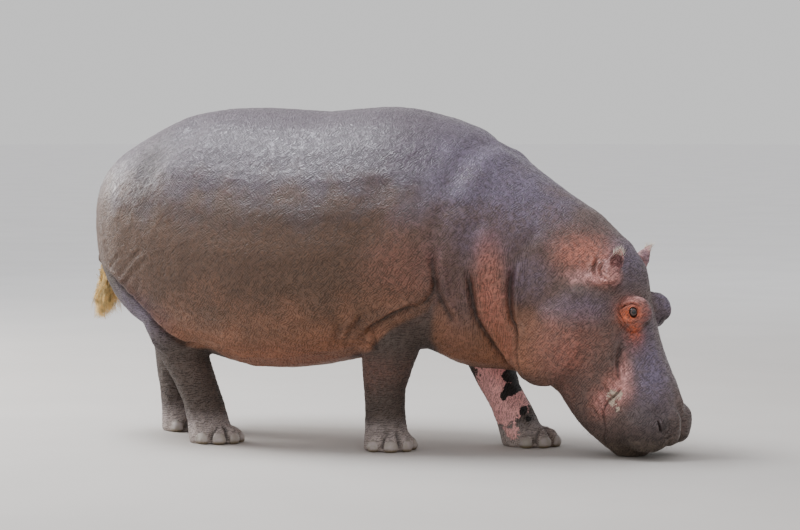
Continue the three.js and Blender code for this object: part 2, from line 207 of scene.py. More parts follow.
TEARDROP = [(1.236, 0.17, 0.53), (1.229, 0.172, 0.551), (1.207, 0.19, 0.586), (1.187, 0.198, 0.616),
            (1.176, 0.187, 0.637), (1.181, 0.186, 0.658), (1.204, 0.198, 0.672), (1.23, 0.195, 0.681),
            (1.257, 0.194, 0.674), (1.272, 0.196, 0.66), (1.278, 0.19, 0.645)]
EYE_FOLDS = (
    Fold(TEARDROP, 0.006, 0.013, 0.003),
    Fold([(1.212, 0.21, 0.6), (1.234, 0.21, 0.59), (1.258, 0.2, 0.602)], 0.004, 0.002, 0.002),
    Fold([(1.25, 0.2, 0.57), (1.262, 0.19, 0.535), (1.262, 0.18, 0.5)], 0.004, 0.002, 0.002),
)

NOSTRIL = [(1.352, 0.17, 0.18), (1.361, 0.18, 0.163), (1.367, 0.182, 0.145), (1.366, 0.18, 0.128)]
MUZZLE_FOLDS = (
    Fold(NOSTRIL, 0.0055, 0.014, 0.004),
    Fold([(1.405, 0.12, 0.21), (1.422, 0.11, 0.185), (1.416, 0.12, 0.134), (1.387, 0.143, 0.1),
          (1.352, 0.18, 0.095)], 0.006, 0.0024, 0.002),
    Fold([(1.385, 0.14, 0.195), (1.396, 0.14, 0.165), (1.393, 0.145, 0.13), (1.37, 0.17, 0.108)],
         0.005, 0.002, 0.002),
    Fold([(1.24, 0.17, 0.31), (1.29, 0.16, 0.275), (1.34, 0.14, 0.26)], 0.018, 0.003, 0.003),
)

SWELLINGS = (
    Swelling((0.95, 0.27, 0.72), (0.16, 0.1, 0.035), 0.008),
    Swelling((1.23, 0.2, 0.625), (0.05, 0.05, 0.07), 0.003),
    Swelling((1.245, 0.17, 0.555), (0.035, 0.06, 0.045), 0.01),
    Swelling((1.4, 0, 0.16), (0.06, 0.045, 0.11), 0.032, (RIGHT,)),
    Swelling((1.225, 0, 0.8), (0.06, 0.09, 0.09), 0.017, (RIGHT,)),
    Swelling((1.385, 0.06, 0.08), (0.06, 0.11, 0.05), 0.028),
    Swelling((1.3, 0.08, 0.05), (0.07, 0.1, 0.035), 0.012),
    Swelling((1.25, 0.17, 0.19), (0.08, 0.1, 0.09), 0.012),
    Swelling((1.15, 0.2, 0.28), (0.04, 0.05, 0.05), 0.006),
    Swelling((0.315, 0.5, 0.9), (0.16, 0.2, 0.24), 0.012),
    Swelling((-0.96, 0.4, 0.62), (0.16, 0.2, 0.2), 0.01),
    Swelling((0.62, 0.36, 0.7), (0.04, 0.12, 0.2), 0.008),
    Swelling((0.68, 0.12, 0.22), (0.05, 0.12, 0.09), 0.018, (LEFT,)),
    Swelling((0.63, 0.14, 0.3), (0.06, 0.12, 0.08), 0.012, (LEFT,)),
)

# ---------------------------------------------------------------- the hide's markings, with painted shade and highlights

# A marking is a soft-edged patch. Its radii are along x, y and z.
Marking = namedtuple("Marking", "at radii strength sides", defaults=(1.0, BOTH))

# Each set takes its colour from the hide's settings, and is laid over the sets before it.
MARKINGS = {
    "plum": (
        Marking((0.66, 0.3, 1.2), (0.34, 0.5, 0.36), 0.75),
        Marking((0.5, 0.42, 0.8), (0.1, 0.2, 0.34), 0.22),
        Marking((1.0, 0.2, 0.66), (0.16, 0.2, 0.07), 0.6),
        Marking((0.8, 0.3, 0.8), (0.12, 0.2, 0.14), 0.5),
        Marking((1.2, 0.1, 0.88), (0.1, 0.16, 0.14), 0.8),
        Marking((1.31, 0.14, 0.42), (0.1, 0.14, 0.24), 1.0),
        Marking((1.3, 0.17, 0.66), (0.09, 0.09, 0.09), 1.0, (LEFT,)),
        Marking((-1.06, 0.33, 0.58), (0.17, 0.2, 0.12), 0.75, (RIGHT,)),
    ),
    "salmon": (
        Marking((1.03, 0.22, 0.9), (0.13, 0.14, 0.085), 1.0),
        Marking((1.12, 0.23, 0.8), (0.08, 0.08, 0.05), 0.8),
        Marking((1.31, 0.19, 0.63), (0.012, 0.04, 0.012), 1.0, (LEFT,)),
        Marking((1.195, 0.2, 0.4), (0.03, 0.06, 0.08), 0.8),
        Marking((1.17, 0.2, 0.31), (0.07, 0.08, 0.08), 0.85),
        Marking((1.1, 0.2, 0.25), (0.07, 0.06, 0.07), 0.7),
        Marking((0.65, 0.36, 0.72), (0.06, 0.2, 0.21), 0.8),
        Marking((0.3, 0.5, 0.82), (0.16, 0.3, 0.2), 0.22, (RIGHT,)),
        Marking((0.69, 0.28, 0.5), (0.05, 0.2, 0.13), 0.5),
        Marking((0.96, 0.3, 0.47), (0.17, 0.2, 0.15), 0.52),
        Marking((0.93, 0.3, 0.3), (0.1, 0.2, 0.1), 0.3),
        Marking((-0.2, 0.25, 0.36), (0.36, 0.4, 0.09), 0.3),
    ),
    "rust": (
        Marking((1.232, 0.2, 0.635), (0.066, 0.09, 0.068), 1.1, (RIGHT,)),
        Marking((1.25, 0.18, 0.56), (0.045, 0.07, 0.075), 1.0, (RIGHT,)),
    ),
    "mauve": (
        Marking((0.54, 0.1, 0.26), (0.15, 0.16, 0.17), 1.3, (LEFT,)),
        Marking((0.42, 0.12, 0.4), (0.1, 0.12, 0.03), 0.9, (LEFT,)),
        Marking((0.61, 0.14, 0.06), (0.06, 0.12, 0.05), 0.8, (LEFT,)),
    ),
    # Pale soft skin on the ears and round the mouth, and a painted highlight on the top of the right brow.
    "blush": (
        Marking((1.06, 0.23, 0.79), (0.09, 0.09, 0.03), 0.75),
        Marking((1.15, 0.21, 0.83), (0.035, 0.05, 0.05), 0.7),
        Marking((1.2, 0.235, 0.9), (0.035, 0.04, 0.06), 0.8),
        # Painted highlight on the top of the right brow.
        Marking((1.262, 0.17, 0.715), (0.04, 0.06, 0.022), 0.8, (RIGHT,)),
        Marking((1.225, 0.2, 0.695), (0.05, 0.06, 0.024), 0.5, (RIGHT,)),
        Marking((1.2, 0.18, 0.37), (0.03, 0.05, 0.06), 0.85),
        Marking((1.12, 0.2, 0.25), (0.05, 0.06, 0.05), 0.5),
        Marking((1.18, 0.18, 0.3), (0.05, 0.06, 0.05), 0.7),
    ),
    # Partly painted shade and partly darker skin: shade behind the far foreleg, below the eyes, in the rump's
    # hollow, along the upper flank and under the neck; shade and darker skin on the muzzle, lips and
    # forehead.
    "dusk": (
        Marking((0.45, 0.32, 0.26), (0.1, 0.14, 0.4), 1.0, (LEFT,)),
        Marking((0.375, 0.16, 0.28), (0.04, 0.2, 0.2), 0.8, (LEFT,)),
        Marking((1.302, 0.14, 0.56), (0.034, 0.08, 0.06), 1.15),
        Marking((-0.945, 0.43, 1.24), (0.085, 0.2, 0.19), 0.75, (RIGHT,)),
        Marking((-0.3, 0.55, 1.06), (0.5, 0.3, 0.07), 0.34, (RIGHT,)),
        Marking((1.18, 0.18, 0.47), (0.025, 0.05, 0.06), 0.35),
        Marking((1.3, 0.14, 0.06), (0.19, 0.2, 0.1), 1.05),
        Marking((1.2, 0.05, 0.82), (0.08, 0.1, 0.1), 0.3),
        Marking((1.29, 0.15, 0.18), (0.1, 0.12, 0.09), 0.85),
        Marking((1.37, 0.15, 0.13), (0.09, 0.12, 0.09), 0.85),
        Marking((0.78, 0.2, 0.3), (0.1, 0.2, 0.1), 0.12),
    ),
    "soot": (
        Marking((0.58, 0.16, 0.318), (0.042, 0.12, 0.034), 1.3, (LEFT,)),
        Marking((0.605, 0.15, 0.282), (0.032, 0.12, 0.044), 1.3, (LEFT,)),
        Marking((0.578, 0.13, 0.256), (0.03, 0.12, 0.03), 1.3, (LEFT,)),
        Marking((0.556, 0.11, 0.232), (0.016, 0.12, 0.026), 1.2, (LEFT,)),
        Marking((0.64, 0.13, 0.162), (0.015, 0.1, 0.026), 1.1, (LEFT,)),
        Marking((0.664, 0.14, 0.128), (0.02, 0.1, 0.018), 0.9, (LEFT,)),
    ),
    "crust": (
        Marking((1.152, 0.19, 0.268), (0.036, 0.06, 0.05), 0.86),
        Marking((1.185, 0.18, 0.286), (0.016, 0.06, 0.03), 0.76),
        Marking((1.176, 0.19, 0.222), (0.018, 0.06, 0.024), 0.74),
    ),
}
CRISP = {"soot", "crust", "mauve"}
# Where the hide is wet: the end of the muzzle, the lids and the top of the snout.
WET = (
    Marking((1.38, 0.1, 0.2), (0.1, 0.14, 0.1)),
    Marking((1.24, 0.2, 0.63), (0.05, 0.06, 0.06)),
    Marking((1.32, 0.1, 0.42), (0.12, 0.16, 0.22), 0.8),
)

# The top of the dark hide on the right legs, as seen from the side. On the left legs it lies further ahead
# or back.
FORELEG_TOP = [(-0.07, 0, 0.41), *ARMPIT, (0.43, 0, 0.7)]
HINDLEG_TOP = [*BUTTOCK, (-0.5, 0, 0.42)]


# ---------------------------------------------------------------- surfaces as arrays


def surface_of(mesh):
    """A mesh's points and triangles as arrays."""
    points = np.empty(len(mesh.vertices) * 3)
    mesh.vertices.foreach_get("co", points)
    mesh.calc_loop_triangles()
    corners = np.empty(len(mesh.loop_triangles) * 3, np.int32)
    mesh.loop_triangles.foreach_get("vertices", corners)
    return points.reshape(-1, 3), corners.reshape(-1, 3).astype(np.int64)


def mesh_of(name, points, triangles):
    """A smooth-shaded mesh from points and triangles."""
    mesh = bpy.data.meshes.new(name)
    mesh.vertices.add(len(points))
    mesh.vertices.foreach_set("co", np.asarray(points, np.float32).ravel())
    mesh.loops.add(triangles.size)
    mesh.loops.foreach_set("vertex_index", triangles.ravel().astype(np.int32))
    mesh.polygons.add(len(triangles))
    mesh.polygons.foreach_set("loop_start", np.arange(0, triangles.size, 3, dtype=np.int32))
    mesh.polygons.foreach_set("use_smooth", np.ones(len(triangles), bool))
    mesh.update(calc_edges=True)
    mesh.validate()
    return mesh


def edges_of(triangles, count):
    """The edges of a surface, and each triangle's three edges by number."""
    pairs = np.sort(triangles[:, [0, 1, 1, 2, 2, 0]].reshape(-1, 2), axis=1)
    keys, where = np.unique(pairs[:, 0] * count + pairs[:, 1], return_inverse=True)
    return np.stack([keys // count, keys % count], axis=1), where.reshape(-1, 3)


class Web:
    """Which points of a surface are neighbours."""

    def __init__(self, triangles, count):
        edges, _ = edges_of(triangles, count)
        self.near = np.concatenate([edges[:, 0], edges[:, 1]])
        self.far = np.concatenate([edges[:, 1], edges[:, 0]])
        self.count = count
        self.share = 1 / np.maximum(np.bincount(self.near, minlength=count), 1)

    def mean(self, values):
        """The mean of each point's neighbours."""
        if values.ndim == 1:
            return np.bincount(self.near, values[self.far], self.count) * self.share
        return np.stack([self.mean(column) for column in values.T], axis=1)

    def smooth(self, values, times, weight):
        """Moves each value towards its neighbours' mean, again and again."""
        for _ in range(times):
            change = self.mean(values) - values
            values = values + (change.T * weight).T
        return values


def normals_of(points, triangles):
    """The outward direction at each point."""
    a, b, c = (points[corner] for corner in triangles.T)
    faces = np.repeat(np.cross(b - a, c - a), 3, axis=0)
    total = np.stack([np.bincount(triangles.ravel(), column, len(points)) for column in faces.T], axis=1)
    return total / np.maximum(np.linalg.norm(total, axis=1), 1e-12)[:, None]


def refined(points, triangles, longest):
    """Splits each edge that is longer than longest(its middle) allows, with no cracks."""
    edges, sides = edges_of(triangles, len(points))
    middles = points[edges].mean(axis=1)
    lengths = np.linalg.norm(points[edges[:, 0]] - points[edges[:, 1]], axis=1)
    split = lengths > longest(middles)
    number = np.where(split, len(points) + np.cumsum(split) - 1, -1)
    new = number[sides]
    cuts = (new >= 0).sum(axis=1)
    pieces = [triangles[cuts == 0]]
    # Each triangle is turned so that its whole edge, or its one split edge, comes last.
    for wanted in (1, 2, 3):
        chosen = cuts == wanted
        corners, mids = triangles[chosen], new[chosen]
        odd = (mids >= 0) if wanted == 1 else (mids < 0)
        turn = (np.argmax(odd, axis=1)[:, None] + np.array([1, 2, 3])) % 3
        a, b, c = np.take_along_axis(corners, turn, axis=1).T
        ab, bc, ca = np.take_along_axis(mids, turn, axis=1).T
        if wanted == 1:
            pieces += [np.stack(t, axis=1) for t in ((a, b, ca), (b, c, ca))]
        elif wanted == 2:
            pieces += [np.stack(t, axis=1) for t in ((ab, b, bc), (a, ab, bc), (a, bc, c))]
        else:
            pieces += [np.stack(t, axis=1) for t in ((a, ab, ca), (ab, b, bc), (ca, bc, c), (ab, bc, ca))]
    return np.concatenate([points, middles[split]]), np.concatenate(pieces)


def unit(vector):
    """The same direction, one long."""
    vector = np.array(vector, float)
    return vector / np.linalg.norm(vector)


def step(low, high, values):
    """0 below low, 1 above high, and an even slope between."""
    part = np.clip((values - low) / (high - low), 0, 1)
    return part * part * (3 - 2 * part)


def noise(points, size, seed=0):
    """Smooth bumps from -1 to 1, about size apart."""
    cell = points / size + 31.7 * (seed + 1)
    base = np.floor(cell)
    part = cell - base
    ease = part * part * (3 - 2 * part)
    total = np.zeros(len(points))
    for corner in itertools.product((0, 1), repeat=3):
        value = np.sin((base + corner) @ np.array((127.1, 311.7, 74.7))) * 43758.5453
        weight = np.prod(np.where(corner, ease, 1 - ease), axis=1)
        total += weight * (value - np.floor(value))
    return 2 * total - 1


def through(places, spacing):
    """Points every spacing along a smooth curve through places."""
    places = np.array(places, float)
    ends = np.concatenate([[2 * places[0] - places[1]], places, [2 * places[-1] - places[-2]]])
    found = []
    for p, q, r, s in zip(ends, ends[1:], ends[2:], ends[3:]):
        count = max(2, int(np.linalg.norm(r - q) / spacing))
        for t in np.arange(count) / count:
            found.append(0.5 * (2 * q + (r - p) * t + (2 * p - 5 * q + 4 * r - s) * t**2
                                + (3 * q - p - 3 * r + s) * t**3))
    return np.array(found + [places[-1]])


def gathered(parts):
    """Several surfaces as one pair of arrays."""
    starts = np.cumsum([0] + [len(points) for points, _ in parts])
    return (np.concatenate([points for points, _ in parts]),
            np.concatenate([triangles + start for (_, triangles), start in zip(parts, starts)]))


def carried(name, points, triangles):
    """A surface on an object of its own, for a modifier to work on."""
    carrier = bpy.data.objects.new(name, mesh_of(name, points, triangles))
    bpy.context.scene.collection.objects.link(carrier)
    return carrier


def baked(carrier):
    """The surface that the modifiers leave. The object goes."""
    made = bpy.data.meshes.new_from_object(carrier.evaluated_get(bpy.context.evaluated_depsgraph_get()))
    surface = surface_of(made)
    rough = carrier.data
    bpy.data.objects.remove(carrier)
    bpy.data.meshes.remove(rough)
    bpy.data.meshes.remove(made)
    return surface


def voxelled(points, triangles, voxel):
    """One closed surface round everything in the arrays."""
    carrier = carried("rough", points, triangles)
    remesh = carrier.modifiers.new("one skin", "REMESH")
    remesh.mode = "VOXEL"
    remesh.voxel_size = voxel
    return baked(carrier)


def lathe_grid(rows, columns, closed=True):
    """Triangles over a grid of points, rows by columns, closed round the columns."""
    across = columns if closed else columns - 1
    r, c = np.meshgrid(np.arange(rows - 1), np.arange(across), indexing="ij")
    a = (r * columns + c).ravel()
    b = (r * columns + (c + 1) % columns).ravel()
    return np.concatenate([np.stack([a, b, b + columns], axis=1),
                           np.stack([a, b + columns, a + columns], axis=1)])


def plate(outer, inner):
    """A closed plate between two grids of points, rows by columns."""
    rows, columns = outer.shape[:2]
    count = rows * columns
    sheet = lathe_grid(rows, columns, closed=False)
    border = np.concatenate([np.arange(columns), np.arange(1, rows) * columns + columns - 1,
                             np.arange(columns - 2, -1, -1) + (rows - 1) * columns,
                             np.arange(rows - 2, 0, -1) * columns])
    after = np.roll(border, -1)
    walls = np.concatenate([np.stack([border, border + count, after + count], axis=1),
                            np.stack([border, after + count, after], axis=1)])
    return (np.concatenate([outer.reshape(-1, 3), inner.reshape(-1, 3)]),
            np.concatenate([sheet, sheet[:, ::-1] + count, walls]))


# ---------------------------------------------------------------- the ears

EAR_ROOTS = {side: EARS[side] + (-0.03, -0.022 * side, -0.065) for side in BOTH}
EAR_TIPS = {RIGHT: EARS[RIGHT] + (0.03, -0.028, 0.058), LEFT: EARS[LEFT] + (0.03, 0.018, 0.054)}
EAR_THICKNESS = 0.006
# Along the ear, from root to tip: its radius, how deep it is for its width, and how far round it
# closes, in degrees.
EAR_ALONG = (-0.22, 0.0, 0.12, 0.3, 0.45, 0.62, 0.8, 0.92, 1.0)
EAR_RADIUS = (0.029, 0.03, 0.028, 0.03, 0.032, 0.027, 0.0165, 0.008, 0.0025)
EAR_DEPTH = (1.1, 1.1, 1.1, 1.05, 1.0, 0.85, 0.7, 0.6, 0.6)
EAR_CLOSING = (178, 178, 172, 145, 118, 98, 80, 66, 60)


def ear_shell(side):
    """One ear: a stalk that opens into a leaf curled round its cup."""
    root, tip = EAR_ROOTS[side], EAR_TIPS[side]
    way = unit(tip - root)
    faces = np.array((0.62, 0.75 * side, -0.05))
    faces = unit(faces - way * (faces @ way))
    aside = np.cross(way, faces)
    rows, columns = 46, 60
    along = np.linspace(EAR_ALONG[0], 1, rows)[:, None]
    radius, depth, closing = (np.interp(along, EAR_ALONG, values)
                              for values in (EAR_RADIUS, EAR_DEPTH, EAR_CLOSING))
    radius = radius + 0.0014 * np.sin(2 * np.pi * along / 0.13) * (1 - step(0.3, 0.5, along))
    turn = np.radians(closing) * np.linspace(-1, 1, columns)
    curl = 0.006 * np.sin(np.pi * np.clip(along, 0, 1)) * np.abs(np.linspace(-1, 1, columns)) ** 4
    lean = 0.012 * np.sin(np.pi * np.clip(along, 0, 1))

    def layer(thinner):
        reach = np.maximum(radius - thinner, 0.0006)
        return (root + (along * np.linalg.norm(tip - root))[..., None] * way
                - ((np.cos(turn) * depth * reach) + lean - curl)[..., None] * faces
                + (np.sin(turn) * (reach + curl))[..., None] * aside)

    return plate(layer(0.0), layer(EAR_THICKNESS * np.clip(1.6 - along, 0.55, 1)))


# ---------------------------------------------------------------- shaping the hide


class Hide:
    """The hide's surface while it is shaped."""

    def __init__(self, voxel):
        self.points, self.triangles = self.closed_flesh(voxel)
        self.changed()

    @staticmethod
    def closed_flesh(voxel):
        """One closed surface round the solids of flesh, but for the ears, and the nails that they hold."""
        inside = [name for name in FLESH + NAILS if not name.startswith("ear_")]
        return voxelled(*gathered([surface_of(frame["nodes"][name].data) for name in inside]), voxel)

    def changed(self):
        """Works out again what depends on the surface's triangles."""
        self.web = Web(self.triangles, len(self.points))
        # depth holds each point's painted shade: darker in the valleys of folds and inside the lids'
        # openings.
        self.depth = np.zeros(len(self.points))

    def normals(self):
        return normals_of(self.points, self.triangles)

    def ahead_of_nape(self):
        return (self.points - NAPE) @ HEAD_AHEAD

    def soften(self):
        """Takes the facets off: much on the barrel and neck, less on legs and head."""
        start = self.points.copy()
        z = self.points[:, 2]
        barrel = step(0.42, 0.62, z)
        barrel *= 1 - step(-0.08, 0.06, self.ahead_of_nape())
        barrel *= 1 - self.round_tail()
        self.points = self.web.smooth(self.points, 90, 0.5 * barrel)
        around = 1 - step(0.2, 0.34, np.abs(self.points[:, 0] - 0.52 + 0.15 * (self.points[:, 2] - 1.2)))
        self.points = self.web.smooth(self.points, 260, 0.5 * around * step(0.62, 0.8, z))
        gentle = 0.3 + 0.2 * step(0.1, 0.2, z)
        gentle *= 1 - 0.6 * self.round_tail()
        self.points = self.web.smooth(self.points, 14, gentle)
        normals = self.normals()
        lost = ((start - self.points) * normals).sum(axis=1)
        lost = self.web.smooth(lost, 40, 0.5)
        self.points = self.points + normals * lost[:, None]

    def join_ears(self, voxel):
        """Cuts each ear's shell into the head, and softens the corner where they meet."""
        whole = carried("hide", self.points, self.triangles)
        for side in BOTH:
            ear = carried("ear", *voxelled(*ear_shell(side), voxel))
            union = whole.modifiers.new("ear", "BOOLEAN")
            union.operation, union.solver, union.object = "UNION", "MANIFOLD", ear
        self.points, self.triangles = baked(whole)
        for name in [o.name for o in bpy.data.objects if o.name.split(".")[0] == "ear"]:
            bpy.data.objects.remove(bpy.data.objects[name])
        self.changed()
        away = np.min([np.linalg.norm(self.points - place, axis=1) for place in EAR_ROOTS.values()], axis=0)
        self.points = self.web.smooth(self.points, 12, 0.5 * (1 - step(0.045, 0.07, away)))

    def round_tail(self):
        low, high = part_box("tail")
        inside = (self.points[:, 0] < high.x + 0.01) & (np.abs(self.points[:, 1]) < high.y + 0.01)
        return (inside & (self.points[:, 2] > low.z - 0.03) & (self.points[:, 2] < high.z)).astype(float)

    def refine(self, times):
        for _ in range(times):
            self.points, self.triangles = refined(self.points, self.triangles, finest_edge)
        self.changed()
        self.points = self.web.smooth(self.points, 2, 0.3)

    def raise_by(self, height, along=None):
        """Moves the surface out along its normals, or along one direction."""
        directions = self.normals() if along is None else np.array(along)
        self.points = self.points + directions * height[:, None]

    def finder(self):
        """Finds the nearest point of the surface."""
        tree = kdtree.KDTree(len(self.points))
        for number, place in enumerate(self.points.tolist()):
            tree.insert(place, number)
        tree.balance()
        return tree

    def press_folds(self, folds):
        """Sinks each fold and swells its banks."""
        tree = self.finder()
        height = np.zeros(len(self.points))
        for fold in folds:
            for side in fold.sides:
                line = through([(x, side * y, z) for x, y, z in fold.line], fold.width)
                line = self.points[[tree.find(place)[1] for place in line]]
                line[1:-1] = (line[:-2] + 2 * line[1:-1] + line[2:]) / 4
                self.press_one(fold, line, height)
        self.raise_by(height)

    def press_one(self, fold, line, height):
        reach = 4.5 * fold.width
        low, high = line.min(axis=0) - reach, line.max(axis=0) + reach
        near = np.flatnonzero(((self.points > low) & (self.points < high)).all(axis=1))
        here = self.points[near]
        best = np.full(len(near), np.inf)
        across = np.zeros((len(near), 3))
        along = np.zeros(len(near))
        for number, (start, end) in enumerate(zip(line, line[1:])):
            way = end - start
            part = np.clip((here - start) @ way / max(way @ way, 1e-12), 0, 1)
            gap = here - start - part[:, None] * way
            distance = np.linalg.norm(gap, axis=1)
            closer = distance < best
            best[closer], across[closer] = distance[closer], gap[closer]
            along[closer] = (number + part[closer]) / (len(line) - 1)
        ends = step(0, 0.16, along) * (1 - step(0.84, 1, along))
        valley = ends * np.exp(-((best / fold.width) ** 2))
        banks = ends * np.exp(-(((best - 2.1 * fold.width) / (1.1 * fold.width)) ** 2))
        if fold.bank:
            side = across @ np.array(fold.bank, float) / np.maximum(best, 1e-9)
            banks *= step(-0.2, 0.4, side)
        height[near] += fold.roll * banks - fold.depth * valley
        # Painted shade along the valley of a deep, narrow fold; a wide fold gets none.
        fold_shade = valley**2.5 * min(1, fold.depth / 0.012) * min(1, 0.016 / fold.width) ** 2
        self.depth[near] = np.maximum(self.depth[near], fold_shade)

    def swell(self, swellings):
        height = np.zeros(len(self.points))
        for one in swellings:
            for side in one.sides:
                centre = np.array(one.at) * (1, side, 1)
                away = (((self.points - centre) / one.radii) ** 2).sum(axis=1)
                height += one.height * np.exp(-away)
        self.raise_by(height)

    def wrinkle(self):
        """Rings round the legs, and slack folds across the throat and the cheeks."""
        x, _, z = self.points.T
        wander = noise(self.points, 0.11, 1)
        low = 1 - step(0.4, 0.52, z)
        rings = np.sin(2 * np.pi * (z / 0.021 + 0.7 * wander + 0.35 * noise(self.points, 0.04, 2)))
        legs = low * step(0.05, 0.09, z) * (1 - step(0.5, 0.6, x + 0.35 * z))
        height = -0.0016 * legs * np.maximum(rings, 0) ** 2
        ahead = self.ahead_of_nape()
        throat = step(-0.3, -0.2, ahead) * (1 - step(-0.03, 0.0, ahead)) * (1 - step(0.7, 0.9, z))
        hoops = np.sin(2 * np.pi * (ahead / 0.03 + 0.8 * wander))
        height -= 0.0012 * throat * np.maximum(hoops, 0) ** 2
        height += 0.0011 * noise(self.points, 0.03, 3) + 0.0008 * noise(self.points, 0.014, 4)
        self.raise_by(height)

    def open_eyes(self):
        """Draws the lids over each eyeball and leaves its opening."""
        for side, centre in EYES.items():
            along, across, out = eye_axes(side)
            offset = self.points - centre
            u, v, w = offset @ along, offset @ across, offset @ out
            spread = np.hypot(u, v)
            near = (spread < 0.06) & (w > -0.01)
            lid = EYE_RADIUS + LID_THICKNESS
            dome = np.sqrt(np.maximum(lid**2 - spread**2, 0.25 * lid**2))
            hold = 1 - step(0.022, 0.036, spread)
            corner = np.where(u > 0, 1.0 + 10 * u, 1.0)
            opening = np.hypot(u / (EYE_OPENING[0] * corner), v / EYE_OPENING[1])
            rim = np.exp(-(((opening - 1.14) / 0.09) ** 2))
            inside = 1 - step(0.98, 1.08, opening)
            target = (1 - hold) * w + hold * dome + 0.0022 * rim - 0.016 * inside
            shift = np.where(near, target - w, 0)
            self.points = self.points + shift[:, None] * out
            # Painted shade over the hide inside the lids' opening.
            self.depth = np.where(near, np.maximum(self.depth, 0.8 * inside), self.depth)


# Where the hide needs its finest detail: a place, a radius round it and the longest edge there.
FINE_AREAS = (
    (EYES[LEFT], 0.05, 0.0026),
    (EYES[LEFT], 0.11, 0.0045),
    (EARS[LEFT], 0.11, 0.0036),
    (np.array((1.39, 0.1, 0.16)), 0.07, 0.004),
    (np.array((1.36, 0.17, 0.15)), 0.06, 0.003),
    (np.array((1.15, 0.19, 0.2)), 0.13, 0.005),
)
# The longest edges on the body, on the neck and legs, on the head, and on the feet.
BODY_EDGE, NECK_EDGE, HEAD_EDGE, FOOT_EDGE = 0.0135, 0.0095, 0.0075, 0.006


def finest_edge(places):
    """The longest edge that the hide's detail allows at each place."""
    edge = np.full(len(places), BODY_EDGE)
    ahead = (places - NAPE) @ HEAD_AHEAD
    edge = np.where((ahead > -0.28) | (places[:, 2] < 0.5), NECK_EDGE, edge)
    edge = np.where(ahead > 0.12, HEAD_EDGE, edge)
    edge = np.where(places[:, 2] < 0.13, np.minimum(edge, FOOT_EDGE), edge)
    aside = np.abs(places[:, 1])
    mirrored = np.stack([places[:, 0], aside, places[:, 2]], axis=1)
    for centre, radius, finest in FINE_AREAS:
        away = np.linalg.norm(mirrored - centre, axis=1)
        edge = np.where(away < radius, np.minimum(edge, finest), edge)
    return edge


LID_THICKNESS = 0.0035
EYE_OPENING = (0.0198, 0.0172)


def eye_axes(side):
    """Towards the eye's front corner, across it, and out of the head."""
    out = unit((0.32, 0.94 * side, 0.12))
    along = np.array((0.2, 0, -0.98))
    along = unit(along - out * (along @ out))
    return along, np.cross(out, along), out


# ---------------------------------------------------------------- the toes

# The way each toe of a foot points, and how far the feet of each side are turned outwards, in degrees.
TOE_FAN = {"inner": -62, "second": -20, "third": 20, "outer": 62}
FOOT_TURN = {RIGHT: 42, LEFT: -22}
# The farthest that a nail reaches from its toe's middle, and how far behind that the toe's own axis lies.
NAIL_REACH = 0.075
TOE_BACK = 0.014


def toe_way(nail):
    """The way that a nail's toe points, level with the ground."""
    _, _, side_name, toe = nail.split("_")
    side = LEFT if side_name == "left" else RIGHT
    angle = math.radians(side * (FOOT_TURN[side] + TOE_FAN[toe]))
    return np.array((math.cos(angle), math.sin(angle), 0))


def toe_gaps():
    """A fold up the foot between each two toes."""
    folds = []
    for foot in sorted({name.rsplit("_", 1)[0] for name in NAILS}):
        toes = [middle(f"{foot}_{toe}") * (1, 1, 0) for toe in TOE_FAN]
        heart = np.mean(toes, axis=0)
        for one, other in zip(toes, toes[1:]):
            gap = (one + other) / 2
            inward = unit(heart - gap)
            line = [gap + back * inward + height * np.array(UP)
                    for back, height in ((0.0, 0.006), (0.004, 0.035), (0.018, 0.065), (0.04, 0.09))]
            folds.append(Fold(line, 0.009, 0.012, 0.003, None, (1,)))
    return tuple(folds)


def toe_axis(nail):
    """Where the upright axis of a nail's toe meets the floor."""
    low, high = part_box(nail)
    return np.array(((low.x + high.x) / 2, (low.y + high.y) / 2, 0)) - TOE_BACK * toe_way(nail)


# ---------------------------------------------------------------- settings


def tint(code):
    """A colour from six hexadecimal digits, as the light values that the shader works in."""
    parts = [int(code[place:place + 2], 16) / 255 for place in (0, 2, 4)]
    return tuple(p / 12.92 if p <= 0.04045 else ((p + 0.055) / 1.055) ** 2.4 for p in parts)


def colour(name, description, code):
    return FloatVectorProperty(name=name, description=description, default=tint(code), subtype="COLOR",
                               size=3, min=0, max=1)


def length(name, description, default):
    return FloatProperty(name=name, description=description, default=default, unit="LENGTH", min=0)


class HideSettings(PropertyGroup):
    voxel: length("Voxel", "Size of the cells that join the flesh into one skin", 0.009)
    ear_voxel: length("Ear voxel", "Size of the cells that close the ears' shells", 0.0022)
    back: colour("Back", "Colour of the back and the top of the neck", "4a3d46")
    flank: colour("Flank", "Colour of the flank", "523724")
    belly: colour("Belly", "Colour of the belly and the lower flank", "895a40")
    legs: colour("Legs", "Colour of the legs", "463932")
    feet: colour("Feet", "Colour of the toes", "a49896")
    head: colour("Head", "Colour of the head between its markings", "58443d")
    plum: colour("Plum", "Colour of the purple grey hide on the neck and muzzle", "675b71")
    salmon: colour("Salmon", "Colour of the bare pink skin", "af6a58")
    mauve: colour("Mauve", "Colour of the palest pink skin, on one foreleg", "ecada9")
    # Pale soft skin on the ears and lips, and the painted highlight on the right brow.
    blush: colour("Blush", "Colour of the palest soft skin, on the ears and lips", "e6a8a3")
    rust: colour("Rust", "Colour of the lids and the skin round the eyes", "c35b31")
    # Painted shade in the hollows, and darker skin on the muzzle and lips.
    dusk: colour("Dusk", "Colour of the hollows of the face", "291a16")
    soot: colour("Soot", "Colour of the dark patches", "1a1413")
    crust: colour("Crust", "Colour of dried mud at the corners of the mouth", "beaa97")
    sand: colour("Sand", "Colour of dry sand on the feet and lips", "9c8c78")


class EyeSettings(PropertyGroup):
    iris: colour("Iris", "Colour of the iris", "241c18")
    white: colour("White", "Colour of the ball round the iris", "5c4038")


